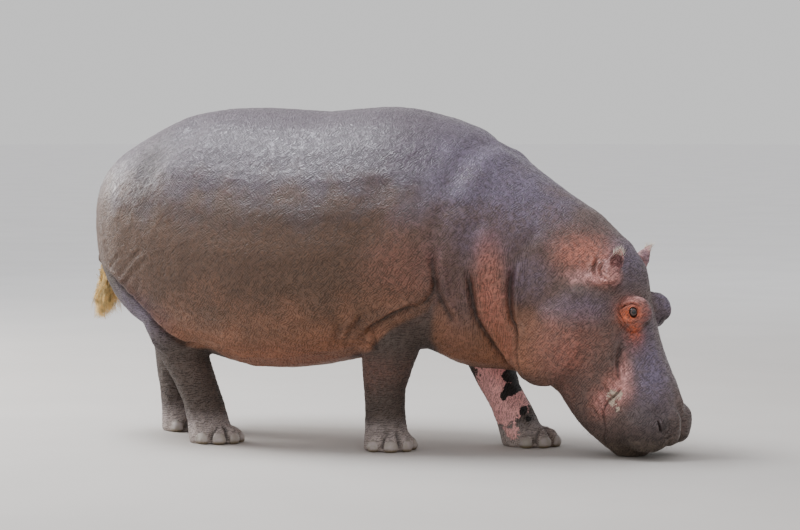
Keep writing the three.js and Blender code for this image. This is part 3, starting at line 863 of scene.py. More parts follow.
class NailSettings(PropertyGroup):
    thickness: length("Thickness", "Thickness of a nail", 0.006)
    height: length("Height", "How far the middle of a nail reaches above the floor", 0.058)
    half_width: FloatProperty(name="Half width", description="Angle that half of a nail covers round its toe",
                              default=math.radians(60), subtype="ANGLE", min=0)
    horn: colour("Horn", "Colour of the nails", "958c83")
    rim: colour("Worn rim", "Colour of the nails' worn lower rim", "6e6048")


class BristleSettings(PropertyGroup):
    tail_count: IntProperty(name="Tail bristles", description="How many bristles the tail has",
                            default=1500, min=1)
    whisker_count: IntProperty(name="Whiskers", description="How many whiskers each side of the muzzle has",
                               default=60, min=1)
    ear_count: IntProperty(name="Ear hairs", description="How many hairs each ear has", default=110, min=1)
    straw: colour("Straw", "Colour of the tail's bristles", "f3d18c")
    dark: colour("Dark bristle", "Colour of the whiskers", "3a2f28")
    pale: colour("Pale hair", "Colour of the ears' hairs", "efe6d6")


class StageSettings(PropertyGroup):
    lens: FloatProperty(name="Lens", description="Focal length of the camera", default=130.455, min=1,
                        unit="CAMERA")
    floor: colour("Floor", "Colour of the floor", "bab5b0")
    far_floor: colour("Far floor", "Colour of the floor far from the lights", "f0efed")
    horizon: colour("Horizon", "Colour of the room level with the eye", "dcdcdc")
    sky: colour("Sky", "Colour of the room overhead", "e8e8ec")
    room_strength: FloatProperty(name="Room light", description="Strength of the room's even light",
                                 default=1.15, min=0)
    overhead_power: FloatProperty(name="Overhead light", description="Power of the light overhead, in watts",
                                  default=640, min=0)
    back_power: FloatProperty(name="Back light", description="Power of the light behind the rump, in watts",
                              default=760, min=0)
    front_power: FloatProperty(name="Front light", description="Power of the light in front, in watts",
                               default=110, min=0)


class HippopotamusSettings(PropertyGroup):
    hide: PointerProperty(type=HideSettings, name="Hide", description="The hide's finish")
    eyes: PointerProperty(type=EyeSettings, name="Eyes", description="The eyes' finish")
    nails: PointerProperty(type=NailSettings, name="Nails", description="The nails' size and finish")
    bristles: PointerProperty(type=BristleSettings, name="Bristles", description="The bristles and hairs")
    stage: PointerProperty(type=StageSettings, name="Stage", description="The floor, lights and camera")


# ---------------------------------------------------------------- shader nodes


def fed(tree, made, inputs):
    """Gives each of a node's inputs its value or its link."""
    for key, value in inputs.items():
        if isinstance(value, bpy.types.NodeSocket):
            tree.links.new(value, made.inputs[key])
        else:
            made.inputs[key].default_value = value
    return made


def node(tree, kind, inputs=None, **settings):
    """Adds a node with its settings, and gives each input a value or a link."""
    made = tree.nodes.new(kind)
    for name, value in settings.items():
        setattr(made, name, value)
    return fed(tree, made, inputs or {})


def maths(tree, operation, *values):
    return node(tree, "ShaderNodeMath", dict(enumerate(values)), operation=operation).outputs[0]


def remap(tree, value, low, high, to_low=0.0, to_high=1.0):
    """Eases a value from one range into another."""
    inputs = {"Value": value, "From Min": low, "From Max": high, "To Min": to_low, "To Max": to_high}
    return node(tree, "ShaderNodeMapRange", inputs, interpolation_type="SMOOTHSTEP").outputs[0]


def painted(tree, under, over, amount, way="MIX"):
    """Lays one colour over another."""
    return node(tree, "ShaderNodeMix", {0: amount, 6: under, 7: over}, data_type="RGBA", blend_type=way,
                clamp_factor=True).outputs[2]


def solid(value):
    """A colour that hides what is under it."""
    return (*value, 1.0)


def stored(tree, name):
    """A mask that the mesh carries."""
    return node(tree, "ShaderNodeAttribute", attribute_name=name).outputs["Fac"]


def place_of(tree):
    return node(tree, "ShaderNodeTexCoord").outputs["Object"]


def shader_group(name, inputs, outputs):
    """A new node group's tree, with what its input node gives and its output node takes."""
    tree = bpy.data.node_groups.new(name, "ShaderNodeTree")
    for label, kind, default in inputs:
        socket = tree.interface.new_socket(name=label, in_out="INPUT", socket_type=kind)
        if default is not None:
            socket.default_value = default
    for label, kind in outputs:
        tree.interface.new_socket(name=label, in_out="OUTPUT", socket_type=kind)
    return tree, tree.nodes.new("NodeGroupInput").outputs, tree.nodes.new("NodeGroupOutput").inputs


def grouped(tree, group, **inputs):
    """Places a node group in a material."""
    return node(tree, "ShaderNodeGroup", inputs, node_tree=group).outputs


def once(build):
    """Builds a node group the first time and finds it after that."""
    def found():
        name = build.__doc__.splitlines()[0].rstrip(".")
        return bpy.data.node_groups.get(name) or build(name)
    return found


@once
def mottle_group(name):
    """Mottle."""
    tree, given, out = shader_group(
        name, [("Place", "NodeSocketVector", None), ("Size", "NodeSocketFloat", 0.1)],
        [("Broad", "NodeSocketFloat"), ("Fine", "NodeSocketFloat")])
    per_metre = maths(tree, "DIVIDE", 1.0, given["Size"])
    broad = node(tree, "ShaderNodeTexNoise", {"Vector": given["Place"], "Scale": per_metre, "Detail": 3.0})
    closer = maths(tree, "MULTIPLY", per_metre, 9.0)
    fine = node(tree, "ShaderNodeTexNoise", {"Vector": given["Place"], "Scale": closer, "Detail": 4.0,
                                             "Roughness": 0.65})
    tree.links.new(remap(tree, broad.outputs["Fac"], 0.3, 0.7), out["Broad"])
    tree.links.new(remap(tree, fine.outputs["Fac"], 0.3, 0.7), out["Fine"])
    return tree


@once
def creases_group(name):
    """Fine creases."""
    tree, given, out = shader_group(
        name, [("Place", "NodeSocketVector", None), ("Spacing", "NodeSocketFloat", 0.01)],
        [("Height", "NodeSocketFloat")])
    per_metre = maths(tree, "DIVIDE", 1.0, given["Spacing"])
    bends = maths(tree, "MULTIPLY", per_metre, 0.7)
    warp = node(tree, "ShaderNodeTexNoise", {"Vector": given["Place"], "Scale": bends,
                                             "Detail": 1.0}).outputs["Color"]
    reach = maths(tree, "MULTIPLY", given["Spacing"], 0.9)
    shift = node(tree, "ShaderNodeVectorMath", {0: warp, "Scale": reach}, operation="SCALE").outputs[0]
    bent = node(tree, "ShaderNodeVectorMath", {0: given["Place"], 1: shift}, operation="ADD").outputs[0]
    net = node(tree, "ShaderNodeTexVoronoi", {"Vector": bent, "Scale": per_metre, "Randomness": 0.95},
               feature="DISTANCE_TO_EDGE")
    tree.links.new(remap(tree, net.outputs["Distance"], 0.0, 0.26), out["Height"])
    return tree


@once
def hatch_group(name):
    """Hatched creases."""
    tree, given, out = shader_group(
        name, [("Place", "NodeSocketVector", None), ("Spacing", "NodeSocketFloat", 0.012)],
        [("Height", "NodeSocketFloat")])
    per_metre = maths(tree, "DIVIDE", 1.0, given["Spacing"])
    drawn_out = node(tree, "ShaderNodeMapping", {"Vector": given["Place"],
                                                 "Scale": (0.6, 0.8, 1.0)}).outputs[0]
    sway = maths(tree, "MULTIPLY", per_metre, 0.4)
    wiggle = node(tree, "ShaderNodeTexNoise", {"Vector": drawn_out, "Scale": sway, "Detail": 2.0,
                                               "Roughness": 0.6}).outputs["Fac"]
    breaks = maths(tree, "MULTIPLY", per_metre, 0.6)
    gaps = node(tree, "ShaderNodeTexNoise", {"Vector": drawn_out, "Scale": breaks,
                                             "Detail": 1.0}).outputs["Fac"]
    across = node(tree, "ShaderNodeSeparateXYZ", {0: given["Place"]}).outputs["Z"]
    swing = maths(tree, "MULTIPLY", wiggle, 2.6)
    rows = maths(tree, "ADD", maths(tree, "MULTIPLY", across, per_metre), swing)
    wave = maths(tree, "SINE", maths(tree, "MULTIPLY", rows, 2 * math.pi))
    line = maths(tree, "SUBTRACT", 1.0, remap(tree, wave, -1.0, 0.15))
    tree.links.new(maths(tree, "SUBTRACT", 1.0, maths(tree, "MULTIPLY", line, remap(tree, gaps, 0.38, 0.56))),
                   out["Height"])
    return tree


@once
def pebble_group(name):
    """Pebbled grain."""
    tree, given, out = shader_group(
        name, [("Place", "NodeSocketVector", None), ("Size", "NodeSocketFloat", 0.008)],
        [("Height", "NodeSocketFloat")])
    per_metre = maths(tree, "DIVIDE", 1.0, given["Size"])
    cells = node(tree, "ShaderNodeTexVoronoi", {"Vector": given["Place"], "Scale": per_metre,
                                                "Randomness": 0.9}, feature="F1")
    tree.links.new(remap(tree, cells.outputs["Distance"], 0.15, 0.75, 1.0, 0.0), out["Height"])
    return tree


@once
def sand_group(name):
    """Dry sand."""
    tree, given, out = shader_group(
        name, [("Place", "NodeSocketVector", None), ("Top", "NodeSocketFloat", 0.1)],
        [("Mask", "NodeSocketFloat")])
    height = node(tree, "ShaderNodeSeparateXYZ", {0: given["Place"]}).outputs["Z"]
    grains = node(tree, "ShaderNodeTexNoise", {"Vector": given["Place"], "Scale": 45.0, "Detail": 5.0,
                                               "Roughness": 0.7})
    near_floor = maths(tree, "SUBTRACT", 1.0, maths(tree, "DIVIDE", height, given["Top"]))
    amount = maths(tree, "ADD", near_floor, maths(tree, "MULTIPLY", grains.outputs["Fac"], 1.2))
    tree.links.new(remap(tree, amount, 0.75, 1.6), out["Mask"])
    return tree


def new_material(name):
    material = bpy.data.materials.new(name)
    material.use_nodes = True
    tree = material.node_tree
    shader = tree.nodes["Principled BSDF"]
    return material, tree, shader


def turned(tree, place, about_y, stretch):
    """Coordinates turned in the side view and squeezed along each axis."""
    turn = node(tree, "ShaderNodeMapping", {"Vector": place, "Rotation": (0.0, math.radians(about_y), 0.0)})
    return node(tree, "ShaderNodeMapping", {"Vector": turn.outputs[0], "Scale": stretch}).outputs[0]


def hide_relief(tree, place):
    """The height of the hide's own grain: slanting creases over pebbles, rings on the legs."""
    warp = node(tree, "ShaderNodeTexNoise", {"Vector": place, "Scale": 7.0, "Detail": 2.0}).outputs["Color"]
    spot = node(tree, "ShaderNodeVectorMath", {0: warp, 1: (0.05, 0.05, 0.05), 2: place},
                operation="MULTIPLY_ADD").outputs[0]

    def hatch(about_y, spacing):
        lines = turned(tree, spot, about_y, (1.0, 1.0, 1.0))
        return grouped(tree, hatch_group(), Place=lines, Spacing=spacing)["Height"]

    def crossed(main, other, share):
        return maths(tree, "MULTIPLY", main, remap(tree, other, 0.0, 1.0, 1 - share, 1.0))

    rising, falling = hatch(48, 0.0094), hatch(-40, 0.0098)
    level, upright = hatch(3, 0.0092), hatch(80, 0.0088)
    long_cells, short_cells = turned(tree, spot, 47, (0.3, 0.6, 1.0)), turned(tree, spot, 50, (0.7, 1.0, 1.0))
    wide = grouped(tree, creases_group(), Place=long_cells, Spacing=0.042)["Height"]
    pebbles = grouped(tree, pebble_group(), Place=short_cells, Size=0.0068)["Height"]
    main = node(tree, "ShaderNodeMix", {0: stored(tree, "legs"), 2: crossed(rising, falling, 0.55),
                                        3: crossed(level, rising, 0.4)}).outputs[0]
    main = node(tree, "ShaderNodeMix", {0: stored(tree, "neck"), 2: main,
                                        3: crossed(upright, rising, 0.3)}).outputs[0]
    main = crossed(main, wide, 0.15)
    return maths(tree, "ADD", maths(tree, "MULTIPLY", main, 0.68), maths(tree, "MULTIPLY", pebbles, 0.32))


def hide_material(settings):
    material, tree, shader = new_material("Hide")
    place = place_of(tree)
    z = node(tree, "ShaderNodeSeparateXYZ", {0: place}).outputs["Z"]
    mottle = grouped(tree, mottle_group(), Place=place, Size=0.16)
    level = maths(tree, "ADD", z, maths(tree, "MULTIPLY", mottle["Broad"], 0.16))
    skin = painted(tree, solid(settings.belly), solid(settings.flank), remap(tree, level, 0.42, 0.86))
    skin = painted(tree, skin, solid(settings.back), remap(tree, level, 1.06, 1.36))
    skin = painted(tree, skin, solid(settings.head), stored(tree, "head"))
    skin = painted(tree, skin, solid(settings.legs), stored(tree, "legs"))
    skin = painted(tree, skin, solid(settings.feet), stored(tree, "feet"))
    ragged = maths(tree, "ADD", remap(tree, mottle["Fine"], 0.0, 1.0, 0.62, 1.12),
                   remap(tree, mottle["Broad"], 0.0, 1.0, -0.12, 0.12))
    for name in MARKINGS:
        mask = maths(tree, "MULTIPLY", ragged, stored(tree, name))
        if name in CRISP:
            mask = remap(tree, mask, 0.4, 0.5)
        skin = painted(tree, skin, solid(getattr(settings, name)), mask)
    sand = grouped(tree, sand_group(), Place=place, Top=0.16)["Mask"]
    skin = painted(tree, skin, solid(settings.sand), maths(tree, "MULTIPLY", sand, 0.3))
    relief = hide_relief(tree, place)
    # Painted shade: the colour is darker in the valleys of the hide's grain.
    shade = remap(tree, relief, 0.15, 0.9, 0.54, 1.13)
    pores = node(tree, "ShaderNodeTexNoise", {"Vector": place, "Scale": 120.0, "Detail": 2.0}).outputs["Fac"]
    speckle = maths(tree, "MULTIPLY", remap(tree, pores, 0.5, 0.72, 1.03, 0.86),
                    remap(tree, mottle["Fine"], 0.0, 1.0, 0.9, 1.08))
    # Painted shade: darker in the folds' valleys and inside the lids' openings.
    folds = remap(tree, stored(tree, "crease"), 0.0, 1.0, 1.0, 0.32)
    shade = maths(tree, "MULTIPLY", maths(tree, "MULTIPLY", shade, speckle), folds)
    # The painted shade of the grain and the folds, with the pores' own dark speckle, darkens the colour.
    grey = node(tree, "ShaderNodeCombineColor", {0: shade, 1: shade, 2: shade}).outputs[0]
    skin = painted(tree, skin, grey, 1.0, "MULTIPLY")
    tree.links.new(skin, shader.inputs["Base Color"])
    dry = remap(tree, level, 0.95, 1.3, 0.46, 0.3)
    rough = maths(tree, "ADD", maths(tree, "ADD", dry, remap(tree, mottle["Fine"], 0.0, 1.0, -0.04, 0.06)),
                  maths(tree, "MULTIPLY", stored(tree, "legs"), 0.2))
    rough = maths(tree, "SUBTRACT", rough, maths(tree, "MULTIPLY", stored(tree, "wet"), 0.14))
    rough = maths(tree, "ADD", rough, remap(tree, relief, 0.2, 0.85, 0.3, 0.0))
    tree.links.new(rough, shader.inputs["Roughness"])
    shader.inputs["Specular IOR Level"].default_value = 0.6
    bump = node(tree, "ShaderNodeBump", {"Strength": 0.9, "Distance": 0.0034, "Height": relief})
    tree.links.new(bump.outputs[0], shader.inputs["Normal"])
    return material


def nail_material(settings, hide):
    material, tree, shader = new_material("Nail horn")
    place = place_of(tree)
    z = node(tree, "ShaderNodeSeparateXYZ", {0: place}).outputs["Z"]
    mottle = grouped(tree, mottle_group(), Place=place, Size=0.025)
    dusty = remap(tree, mottle["Broad"], 0.2, 1.0, 0.0, 0.7)
    horn = painted(tree, solid(settings.horn), solid(hide.feet), dusty)
    level = maths(tree, "ADD", z, maths(tree, "MULTIPLY", mottle["Fine"], 0.006))
    horn = painted(tree, solid(settings.rim), horn, remap(tree, level, 0.008, 0.022))
    horn = painted(tree, horn, solid(hide.legs), remap(tree, level, 0.046, 0.06, 0.0, 0.5))
    tree.links.new(horn, shader.inputs["Base Color"])
    upright = turned(tree, place, 0, (0.2, 0.2, 1.0))
    growth = grouped(tree, creases_group(), Place=upright, Spacing=0.004)["Height"]
    tree.links.new(remap(tree, mottle["Fine"], 0.0, 1.0, 0.4, 0.6), shader.inputs["Roughness"])
    bump = node(tree, "ShaderNodeBump", {"Strength": 0.4, "Distance": 0.0008, "Height": growth})
    tree.links.new(bump.outputs[0], shader.inputs["Normal"])
    return material


# The eye's tones: flecks in the iris, painted shade where the ball turns under the lids, and the pupil.
IRIS_FLECK = (0.035, 0.04, 0.048)
SOCKET_SHADE = (0.012, 0.009, 0.008)
PUPIL = (0.004, 0.004, 0.004)


def eye_material(settings):
    material, tree, shader = new_material("Eye")
    place = place_of(tree)
    mottle = grouped(tree, mottle_group(), Place=place, Size=0.006)
    off = stored(tree, "off_axis")
    iris = painted(tree, solid(settings.iris), solid(IRIS_FLECK), remap(tree, mottle["Fine"], 0.2, 0.9))
    ball = painted(tree, iris, solid(settings.white), remap(tree, off, 0.66, 0.74))
    # Painted shade: the ball darkens towards its edge, where it turns under the lids.
    ball = painted(tree, ball, solid(SOCKET_SHADE), remap(tree, off, 0.9, 1.1))
    ball = painted(tree, solid(PUPIL), ball, remap(tree, stored(tree, "pupil"), 0.9, 1.1))
    tree.links.new(ball, shader.inputs["Base Color"])
    shader.inputs["Roughness"].default_value = 0.22
    shader.inputs["Coat Weight"].default_value = 0.55
    shader.inputs["Specular IOR Level"].default_value = 0.3
    shader.inputs["Coat Roughness"].default_value = 0.03
    return material


def bristle_material(name, colour_of, root):
    material, tree, shader = new_material(name)
    place = place_of(tree)
    mottle = grouped(tree, mottle_group(), Place=place, Size=0.03)
    strand = painted(tree, solid(colour_of), solid(root), remap(tree, mottle["Broad"], 0.35, 1.0, 0.0, 0.55))
    strand = painted(tree, strand, solid(root), remap(tree, stored(tree, "along"), 0.0, 0.25, 0.6, 0.0))
    tree.links.new(strand, shader.inputs["Base Color"])
    tree.links.new(remap(tree, mottle["Fine"], 0.0, 1.0, 0.55, 0.75), shader.inputs["Roughness"])
    return material


FLOOR_MOTTLE = (0.96, 0.96, 0.96)


def floor_material(settings):
    material, tree, shader = new_material("Plain floor")
    place = place_of(tree)
    mottle = grouped(tree, mottle_group(), Place=place, Size=0.8)
    away = node(tree, "ShaderNodeVectorMath", {0: place}, operation="LENGTH").outputs["Value"]
    pale = painted(tree, solid(settings.floor), solid(settings.far_floor), remap(tree, away, 3.0, 13.0))
    tone = painted(tree, pale, solid(FLOOR_MOTTLE), mottle["Broad"], "MULTIPLY")
    tree.links.new(tone, shader.inputs["Base Color"])
    shader.inputs["Roughness"].default_value = 0.9
    shader.inputs["Specular IOR Level"].default_value = 0.2
    return material


# ---------------------------------------------------------------- pieces


def placed(name, mesh, material, replaced=()):
    """Puts a finished mesh in the scene as a piece that rides on the body."""
    piece = bpy.data.objects.new(name, mesh)
    bpy.context.scene.collection.objects.link(piece)
    mesh.materials.append(material)
    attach(piece, "root")
    if replaced:
        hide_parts(*replaced)
    return piece


def store(mesh, name, values):
    """Keeps one number for each point on the mesh."""
    layer = mesh.attributes.new(name, "FLOAT", "POINT")
    layer.data.foreach_set("value", np.asarray(values, np.float32))


def marked(points, markings, wander):
    """How strongly each point lies in any of the markings."""
    total = np.zeros(len(points))
    for one in markings:
        for side in one.sides:
            centre = np.array(one.at) * (1, side, 1)
            away = np.sqrt((((points - centre) / one.radii) ** 2).sum(axis=1)) + wander
            total = np.maximum(total, one.strength * np.exp(-1.05 * np.maximum(away, 0) ** 2.4))
    return total


def below(points, line):
    """1 below a line drawn across the body's side, and 0 above it. The edge is softer behind the rump."""
    soft = 0.012 + 0.09 * (1 - step(0.24, 0.36, np.abs(points[:, 1]))) * (1 - step(-1.05, -0.9, points[:, 0]))
    places = np.array(line)
    level = np.interp(points[:, 0], places[:, 0], places[:, 2])
    return 1 - step(-soft, soft, points[:, 2] - level)


def leg_mask(points, wander):
    """1 on the dark hide of the legs. It ends at the folds over them."""
    x, y, z = points.T
    masks = []
    for side, fore_lead, hind_lead in ((RIGHT, 0, 0), (LEFT, FORELEG_LEAD, HINDLEG_LEAD)):
        front = x - fore_lead - 0.33 - 0.37 * (z - 0.42)
        brisket = step(-0.02, 0.03, front + 0.08 * wander) * step(0.33, 0.4, z)
        fore = below(points, moved(FORELEG_TOP, fore_lead)) * (1 - brisket)
        fore *= step(-0.12, -0.06, x - fore_lead) * step(0.02, 0.06, side * y)
        hind = below(points, moved(HINDLEG_TOP, hind_lead)) * (1 - step(-0.69, -0.65, x - hind_lead))
        hind *= step(0.0, 0.03, side * y - 0.1 * step(0.55, 0.65, z))
        masks += [fore, hind]
    return np.max(masks, axis=0)


def hide_masks(hide):
    """The regions of colour, grain and gloss, for each point."""
    points = hide.points
    z = points[:, 2]
    wander = 0.16 * noise(points, 0.09, 5) + 0.1 * noise(points, 0.035, 6)
    ahead = hide.ahead_of_nape()
    head = step(0.05, 0.25, ahead)
    neck = step(-0.34, -0.2, ahead) * (1 - step(-0.02, 0.04, ahead)) * (1 - step(0.85, 1.1, z))
    wet = marked(points, WET, wander)
    masks = {name: marked(points, markings, 0.5 * wander if name in CRISP else wander)
             for name, markings in MARKINGS.items()}
    legs = np.maximum(leg_mask(points, wander), 1 - step(0.13, 0.2, z)) * (1 - head)
    return masks | {
        # Painted shade of the folds and the lids' openings.
        "crease": hide.web.smooth(hide.depth, 1, 0.5),
        "head": head,
        "legs": legs,
        "feet": legs * (1 - step(0.03, 0.17, z + 0.08 * wander)) * 0.9,
        "neck": neck,
        "wet": wet,
    }


FLOOR_CLEARANCE = 0.0004


def build_hide(settings):
    """The whole skin in one surface."""
    hide = Hide(settings.voxel)
    hide.soften()
    hide.refine(2)
    hide.join_ears(settings.ear_voxel)
    hide.swell(SWELLINGS)
    hide.press_folds(NECK_FOLDS + BODY_FOLDS + toe_gaps())
    hide.press_folds(HEAD_FOLDS + MUZZLE_FOLDS)
    hide.press_folds(EYE_FOLDS)
    hide.wrinkle()
    hide.open_eyes()
    hide.points[:, 2] = np.maximum(hide.points[:, 2], FLOOR_CLEARANCE)
    mesh = mesh_of("hide", hide.points, hide.triangles)
    for name, values in hide_masks(hide).items():
        store(mesh, name, values)
    placed("hide", mesh, hide_material(settings), FLESH)


CORNEA_RADIUS = 0.62
CORNEA_BULGE = 0.0022
PUPIL_SIZE = (0.0062, 0.0085)


def build_eye(side, settings):
    """An eyeball with a clear bulge over its iris."""
    centre = EYES[side]
    along, across, _ = eye_axes(side)
    gaze = unit((0.45, 0.88 * side, 0.02))
    along = unit(along - gaze * (along @ gaze))
    across = np.cross(gaze, along)
    rows, columns = 48, 64
    angle = np.repeat(np.linspace(0.0005, np.pi - 0.0005, rows), columns)
    turn = np.tile(np.arange(columns) * 2 * np.pi / columns, rows)
    off = angle / CORNEA_RADIUS
    radius = EYE_RADIUS - 0.0006 + CORNEA_BULGE * (1 - step(0.0, 1.15, off))
    u = radius * np.sin(angle) * np.cos(turn)
    v = radius * np.sin(angle) * np.sin(turn)
    w = radius * np.cos(angle)
    points = centre + u[:, None] * along + v[:, None] * across + w[:, None] * gaze
    mesh = mesh_of(f"eye_{SIDE_NAMES[side]}", points, lathe_grid(rows, columns)[:, ::-1])
    store(mesh, "off_axis", off)
    store(mesh, "pupil", np.hypot(u / PUPIL_SIZE[0], v / PUPIL_SIZE[1]))
    placed(f"eyeball_{SIDE_NAMES[side]}", mesh, eye_material(settings), [f"eye_{SIDE_NAMES[side]}"])


def smoothed_grid(grid, times):
    """Evens out a grid of numbers, but for its corners."""
    for _ in range(times):
        wide = np.pad(grid, 1, mode="edge")
        grid = (wide[:-2, 1:-1] + wide[2:, 1:-1] + wide[1:-1, :-2] + wide[1:-1, 2:] + 2 * grid) / 6
    return grid


def build_nail(name, settings, material, hide):
    """A thick curved shield laid on the front of one toe, thinning into the hide at its border."""
    axis, ahead = toe_axis(name), toe_way(name)
    aside = np.array((-ahead[1], ahead[0], 0))
    rows, columns = 26, 38
    across = np.linspace(-1, 1, columns)[None, :]
    up = np.linspace(0, 1, rows)[:, None]
    top = settings.height * (1 - 0.34 * across**2)
    level = 0.003 + (top - 0.003) * up
    spread = settings.half_width * across * (1 - 0.1 * up)
    way = np.cos(spread)[..., None] * ahead + np.sin(spread)[..., None] * aside
    reach = np.empty(level.shape)
    for row, column in np.ndindex(*level.shape):
        start = axis + level[row, column] * np.array(UP)
        hit = hide.ray_cast(Vector(start), Vector(way[row, column]), NAIL_REACH)
        reach[row, column] = NAIL_REACH / 2 if hit[0] is None else hit[3]
    reach = smoothed_grid(reach, 6)
    border = np.minimum(np.minimum(1 - np.abs(across), 0.5 * (1 - up)) * 6, 1)
    crown = np.sqrt(1 - (1 - border) ** 2)
    outer = reach - 0.0015 + 0.006 * crown
    floor = axis + level[..., None] * np.array(UP)
    inner = np.minimum(outer, reach + 0.001) - settings.thickness
    points, triangles = plate(floor + outer[..., None] * way, floor + inner[..., None] * way)
    placed(name.replace("nail", "horn"), mesh_of(name, points, triangles), material, [name])


def skin_unwrap(places):
    """Where a place on the skin lies on the skin's own unwrap: along the body, and round it."""
    low, high = FRAME_BOX
    along = (places[:, 0] - low.x) / (high.x - low.x)
    round_body = np.arctan2(places[:, 1], 0.8 - places[:, 2]) / (2 * np.pi) + 0.5
    return 0.02 + 0.95 * np.stack([np.clip(along, 0, 1), round_body], axis=1)


PATCH = 0.003
RINGS, ROUND = 6, 4


def strands(name, roots, ways, lengths, widths, bends, random):
    """Tapered bristles in one mesh. Each bends by its own amount as it grows."""
    count = len(roots)
    t = np.linspace(0, 1, RINGS)
    ways = ways / np.linalg.norm(ways, axis=1)[:, None]
    wave = random.normal(0, 1, (count, 2, 3)) * 0.035
    spine = (roots[:, None] + ways[:, None] * (lengths[:, None] * t)[..., None]
             + bends[:, None] * (t**2)[None, :, None]
             + lengths[:, None, None] * (wave[:, :1] * np.sin(5 * t)[None, :, None]
                                         + wave[:, 1:] * np.sin(11 * t)[None, :, None] * 0.6))
    side = np.cross(ways, random.normal(0, 1, (count, 3)))
    side /= np.linalg.norm(side, axis=1)[:, None]
    other = np.cross(ways, side)
    angle = np.arange(ROUND) * 2 * np.pi / ROUND
    ring = (side[:, None] * np.cos(angle)[:, None] + other[:, None] * np.sin(angle)[:, None])
    taper = 0.5 * widths[:, None] * (1 - 0.85 * t**1.5)
    points = spine[:, :, None] + ring[:, None] * taper[..., None, None]
    one = lathe_grid(RINGS, ROUND)
    caps = np.array([(2, 1, 0), (3, 2, 0)])
    tips = np.array([(0, 1, 2), (0, 2, 3)]) + (RINGS - 1) * ROUND
    one = np.concatenate([one, caps, tips])
    size = RINGS * ROUND
    triangles = (one[None] + size * np.arange(count)[:, None, None]).reshape(-1, 3)
    mesh = mesh_of(name, points.reshape(-1, 3), triangles)
    store(mesh, "along", np.tile(np.repeat(t, ROUND), count))
    patch = np.stack([np.tile(np.arange(ROUND) / ROUND, RINGS), np.repeat(t, ROUND)], axis=1) * PATCH
    spots = (skin_unwrap(roots)[:, None] + patch).reshape(-1, 2)
    corners = np.empty(len(mesh.loops), np.int32)
    mesh.loops.foreach_get("vertex_index", corners)
    mesh.uv_layers.new(name="OFBake").data.foreach_set("uv", spots[corners].astype(np.float32).ravel())
    return mesh


# The tone at the root of each kind of bristle, and in its mottle.
TASSEL_ROOT, WHISKER_ROOT, EAR_HAIR_ROOT = "6b5636", "5a4a42", "8a6a5a"
TAIL_LOCKS = 46
# The lowest and the highest root of a lock. The locks stand closer together towards the top.
LOCK_TOPS = (0.62, 0.79)


def build_tail_bristles(settings):
    """The matted tassel at the end of the tail."""
    random = np.random.default_rng(11)
    low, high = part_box("tail_tuft")
    count = settings.tail_count
    locks = TAIL_LOCKS
    lock = random.integers(0, locks, count)
    heart_x = random.uniform(low.x + 0.018, high.x - 0.012, locks)
    heart_y = random.uniform(low.y + 0.012, high.y - 0.012, locks)
    top = random.uniform(*LOCK_TOPS, locks)
    rise = (top - LOCK_TOPS[0]) / (LOCK_TOPS[1] - LOCK_TOPS[0])
    narrow = 1 - 0.55 * rise**2
    centre = (low + high) / 2
    heart_x, heart_y = centre.x + (heart_x - centre.x) * narrow, centre.y + (heart_y - centre.y) * narrow
    roots = np.stack([heart_x[lock], heart_y[lock], top[lock]], axis=1)
    roots += random.normal(0, 1, (count, 3)) * (0.006, 0.007, 0.012)
    reach = random.uniform(0.05, 0.15, locks)[lock] * random.uniform(0.75, 1.1, count)
    reach = np.minimum(reach, roots[:, 2] - low.z - 0.01)
    lean = np.stack([random.normal(0, 0.3, locks), random.normal(0, 0.25, locks), -np.ones(locks)],
                    axis=1)[lock]
    lean += random.normal(0, 0.09, (count, 3))
    bends = random.normal(0, 0.012, (locks, 3))[lock]
    widths = random.uniform(0.0016, 0.0036, count)
    mesh = strands("tail_bristles", roots, lean, reach, widths, bends, random)
    points, _ = surface_of(mesh)
    points = np.clip(points, np.array(low) - 0.004, np.array(high) + 0.004)
    mesh.vertices.foreach_set("co", points.astype(np.float32).ravel())
    straw = bristle_material("Straw bristle", settings.straw, tint(TASSEL_ROOT))
    placed("tail_bristles", mesh, straw, ["tail_tuft"])


def scattered(surface, normals, centre, radius, count, random):
    """Chosen points of the hide round a place."""
    away = np.linalg.norm(surface - centre, axis=1)
    near = np.flatnonzero(away < radius)
    chosen = random.choice(near, min(count, len(near)), replace=False)
    return surface[chosen], normals[chosen]


# Where the whiskers stand: a place, a radius round it and its share of their number.
WHISKER_AREAS = (
    ((1.3, 0.15, 0.12), 0.12, 0.5),
    ((1.05, 0.14, 0.12), 0.1, 0.3),
    ((1.15, 0.17, 0.15), 0.08, 0.2),
)


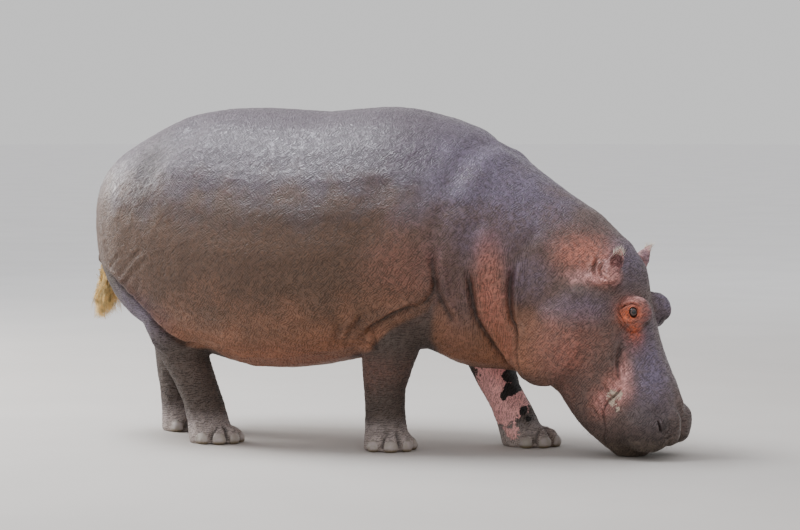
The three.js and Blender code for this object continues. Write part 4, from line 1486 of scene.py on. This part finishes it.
def build_face_hairs(settings):
    """Whiskers on the lips and chin, and pale hairs on the ears' tips and rims."""
    hide = bpy.data.objects["hide"].data
    surface, triangles = surface_of(hide)
    normals = normals_of(surface, triangles)
    random = np.random.default_rng(23)
    roots, ways, sizes = [], [], []
    for side in BOTH:
        for place, radius, share in WHISKER_AREAS:
            found, out = scattered(surface, normals, np.array(place) * (1, side, 1), radius,
                                   int(settings.whisker_count * share), random)
            roots.append(found)
            ways.append(out + random.normal(0, 0.25, out.shape) + np.array((0, 0, -0.35)))
            sizes.append(random.uniform(0.008, 0.022, len(found)))
    roots, ways, sizes = np.concatenate(roots), np.concatenate(ways), np.concatenate(sizes)
    kept = roots[:, 2] > 0.03
    roots, ways, sizes = roots[kept], ways[kept], sizes[kept]
    bends = random.normal(0, 0.002, roots.shape)
    mesh = strands("whiskers", roots, ways, sizes, np.full(len(roots), 0.0012), bends, random)
    placed("whiskers", mesh, bristle_material("Whisker", settings.dark, tint(WHISKER_ROOT)))
    roots, ways, sizes = [], [], []
    for side in BOTH:
        ear = EARS[side]
        tip = ear + np.array((0.03, 0.02 * side, 0.05))
        found, out = scattered(surface, normals, tip, 0.045, settings.ear_count, random)
        roots.append(found)
        ways.append(0.5 * out + unit((0.45, 0.3 * side, 0.8)) + random.normal(0, 0.2, out.shape))
        sizes.append(random.uniform(0.012, 0.034, len(found)))
    roots, ways, sizes = np.concatenate(roots), np.concatenate(ways), np.concatenate(sizes)
    bends = random.normal(0, 0.003, roots.shape)
    mesh = strands("ear_hairs", roots, ways, sizes, np.full(len(roots), 0.0011), bends, random)
    placed("ear_hairs", mesh, bristle_material("Ear hair", settings.pale, tint(EAR_HAIR_ROOT)))


# ---------------------------------------------------------------- the stage

CAMERA_PLACE = (4.75678, -12.13655, 1.55)
CAMERA_TILT, CAMERA_HEADING = 86.7494, 21.0
SENSOR_WIDTH = 36.0
FLOOR_RADIUS = 90.0
FLOOR_INNER_RADIUS = 6
FLOOR_SIDES = 128
# Each soft light's name, place, the place that it faces, its size and its tone.
LIGHTS = (
    ("overhead", (-2.5, -0.7, 6.5), (-0.4, 0, 0.9), (3.8, 2.6), (0.9, 0.95, 1.0)),
    ("back", (-7.8, 1.0, 4.0), (-1.1, 0, 0.9), (4.2, 3.4), (1.0, 0.99, 0.97)),
    ("front", (5.0, -8.0, 4.0), (0.4, 0, 0.6), (4.0, 3.0), (1.0, 0.95, 0.88)),
)


def build_floor(settings):
    """A wide round floor."""
    sides = FLOOR_SIDES
    turn = np.arange(sides) * 2 * np.pi / sides
    rim = np.stack([np.cos(turn), np.sin(turn), np.zeros(sides)], axis=1)
    points = np.concatenate([[(0, 0, 0)], rim * FLOOR_INNER_RADIUS, rim * FLOOR_RADIUS])
    inner = np.arange(sides) + 1
    after = np.roll(inner, -1)
    fan = np.stack([np.zeros(sides, int), inner, after], axis=1)
    ring = np.concatenate([np.stack([inner, inner + sides, after + sides], axis=1),
                           np.stack([inner, after + sides, after], axis=1)])
    floor = bpy.data.objects.new("floor", mesh_of("floor", points, np.concatenate([fan, ring])))
    floor.data.materials.append(floor_material(settings))
    bpy.context.scene.collection.objects.link(floor)


def softbox(name, place, target, size, power, tone):
    """A large soft light that faces a place."""
    light = bpy.data.lights.new(name, "AREA")
    light.shape = "RECTANGLE"
    light.size, light.size_y = size
    light.energy = power
    light.color = tone
    holder = bpy.data.objects.new(name, light)
    holder.location = place
    way = np.array(target) - np.array(place)
    holder.rotation_mode = "QUATERNION"
    holder.rotation_quaternion = Vector(way).to_track_quat("-Z", "Y")
    bpy.context.scene.collection.objects.link(holder)


def build_room_light(settings):
    """An even pale room, brighter overhead."""
    world = bpy.data.worlds.new("pale room")
    world.use_nodes = True
    tree = world.node_tree
    background = tree.nodes["Background"]
    way = node(tree, "ShaderNodeSeparateXYZ", {0: node(tree, "ShaderNodeTexCoord").outputs["Generated"]})
    height = remap(tree, way.outputs["Z"], 0.08, 0.7)
    tone = painted(tree, solid(settings.horizon), solid(settings.sky), height)
    tree.links.new(tone, background.inputs["Color"])
    background.inputs["Strength"].default_value = settings.room_strength
    bpy.context.scene.world = world


def build_camera(settings):
    camera = bpy.data.cameras.new("camera")
    camera.lens = settings.lens
    camera.sensor_width = SENSOR_WIDTH
    camera.clip_end = 400
    holder = bpy.data.objects.new("camera", camera)
    holder.location = CAMERA_PLACE
    holder.rotation_euler = (math.radians(CAMERA_TILT), 0, math.radians(CAMERA_HEADING))
    bpy.context.scene.collection.objects.link(holder)
    bpy.context.scene.camera = holder


# ---------------------------------------------------------------- operators and panel


def settings_of(context):
    return context.scene.hippopotamus


class HIPPO_OT_hide(Operator):
    """Build the hide over the solids of flesh"""

    bl_idname = "hippo.build_hide"
    bl_label = "Hide"

    def execute(self, context):
        build_hide(settings_of(context).hide)
        return {"FINISHED"}


class HIPPO_OT_eyes(Operator):
    """Build both eyeballs"""

    bl_idname = "hippo.build_eyes"
    bl_label = "Eyes"

    def execute(self, context):
        for side in BOTH:
            build_eye(side, settings_of(context).eyes)
        return {"FINISHED"}


class HIPPO_OT_nails(Operator):
    """Build the nails of all four feet"""

    bl_idname = "hippo.build_nails"
    bl_label = "Nails"

    def execute(self, context):
        if "hide" not in bpy.data.objects:
            raise RuntimeError("the hide comes first: the nails lie on its toes")
        settings = settings_of(context)
        material = nail_material(settings.nails, settings.hide)
        points, triangles = surface_of(bpy.data.objects["hide"].data)
        hide = BVHTree.FromPolygons(points.tolist(), triangles.tolist())
        for name in NAILS:
            build_nail(name, settings.nails, material, hide)
        return {"FINISHED"}


class HIPPO_OT_tail_bristles(Operator):
    """Build the tassel of bristles on the tail"""

    bl_idname = "hippo.build_tail_bristles"
    bl_label = "Tail bristles"

    def execute(self, context):
        build_tail_bristles(settings_of(context).bristles)
        return {"FINISHED"}


class HIPPO_OT_face_hairs(Operator):
    """Build the whiskers and the ears' hairs on the finished hide"""

    bl_idname = "hippo.build_face_hairs"
    bl_label = "Whiskers and ear hairs"

    def execute(self, context):
        if "hide" not in bpy.data.objects:
            raise RuntimeError("the hide comes first: its surface holds the hairs' roots")
        build_face_hairs(settings_of(context).bristles)
        return {"FINISHED"}


class HIPPO_OT_stage(Operator):
    """Build the floor, the lights and the camera"""

    bl_idname = "hippo.build_stage"
    bl_label = "Stage"

    def execute(self, context):
        settings = settings_of(context).stage
        build_floor(settings)
        build_room_light(settings)
        for name, place, target, size, tone in LIGHTS:
            softbox(name, place, target, size, getattr(settings, f"{name}_power"), tone)
        build_camera(settings)
        return {"FINISHED"}


class HIPPO_PT_panel(Panel):
    """The pieces of the hippopotamus and their settings"""

    bl_idname = "HIPPO_PT_panel"
    bl_label = "Hippopotamus"
    bl_space_type = "VIEW_3D"
    bl_region_type = "UI"
    bl_category = "Hippopotamus"

    def draw(self, context):
        layout = self.layout
        settings = settings_of(context)
        for title, group, operators in (
            ("Hide", settings.hide, (HIPPO_OT_hide,)),
            ("Eyes", settings.eyes, (HIPPO_OT_eyes,)),
            ("Nails", settings.nails, (HIPPO_OT_nails,)),
            ("Bristles", settings.bristles, (HIPPO_OT_tail_bristles, HIPPO_OT_face_hairs)),
            ("Stage", settings.stage, (HIPPO_OT_stage,)),
        ):
            box = layout.box()
            box.label(text=title)
            for name in group.__annotations__:
                box.prop(group, name)
            for operator in operators:
                box.operator(operator.bl_idname)


CLASSES = (
    HideSettings, EyeSettings, NailSettings, BristleSettings, StageSettings, HippopotamusSettings,
    HIPPO_OT_hide, HIPPO_OT_eyes, HIPPO_OT_nails, HIPPO_OT_tail_bristles, HIPPO_OT_face_hairs, HIPPO_OT_stage,
    HIPPO_PT_panel,
)


def register():
    for one in CLASSES:
        bpy.utils.register_class(one)
    bpy.types.Scene.hippopotamus = PointerProperty(type=HippopotamusSettings, name="Hippopotamus",
                                                   description="Sizes and colours of the hippopotamus")


def unregister():
    del bpy.types.Scene.hippopotamus
    for one in reversed(CLASSES):
        bpy.utils.unregister_class(one)


def main():
    register()
    bpy.ops.hippo.build_stage()
    bpy.ops.hippo.build_hide()
    bpy.ops.hippo.build_eyes()
    bpy.ops.hippo.build_nails()
    bpy.ops.hippo.build_tail_bristles()
    bpy.ops.hippo.build_face_hairs()
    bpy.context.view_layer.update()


if __name__ == "__main__":
    main()
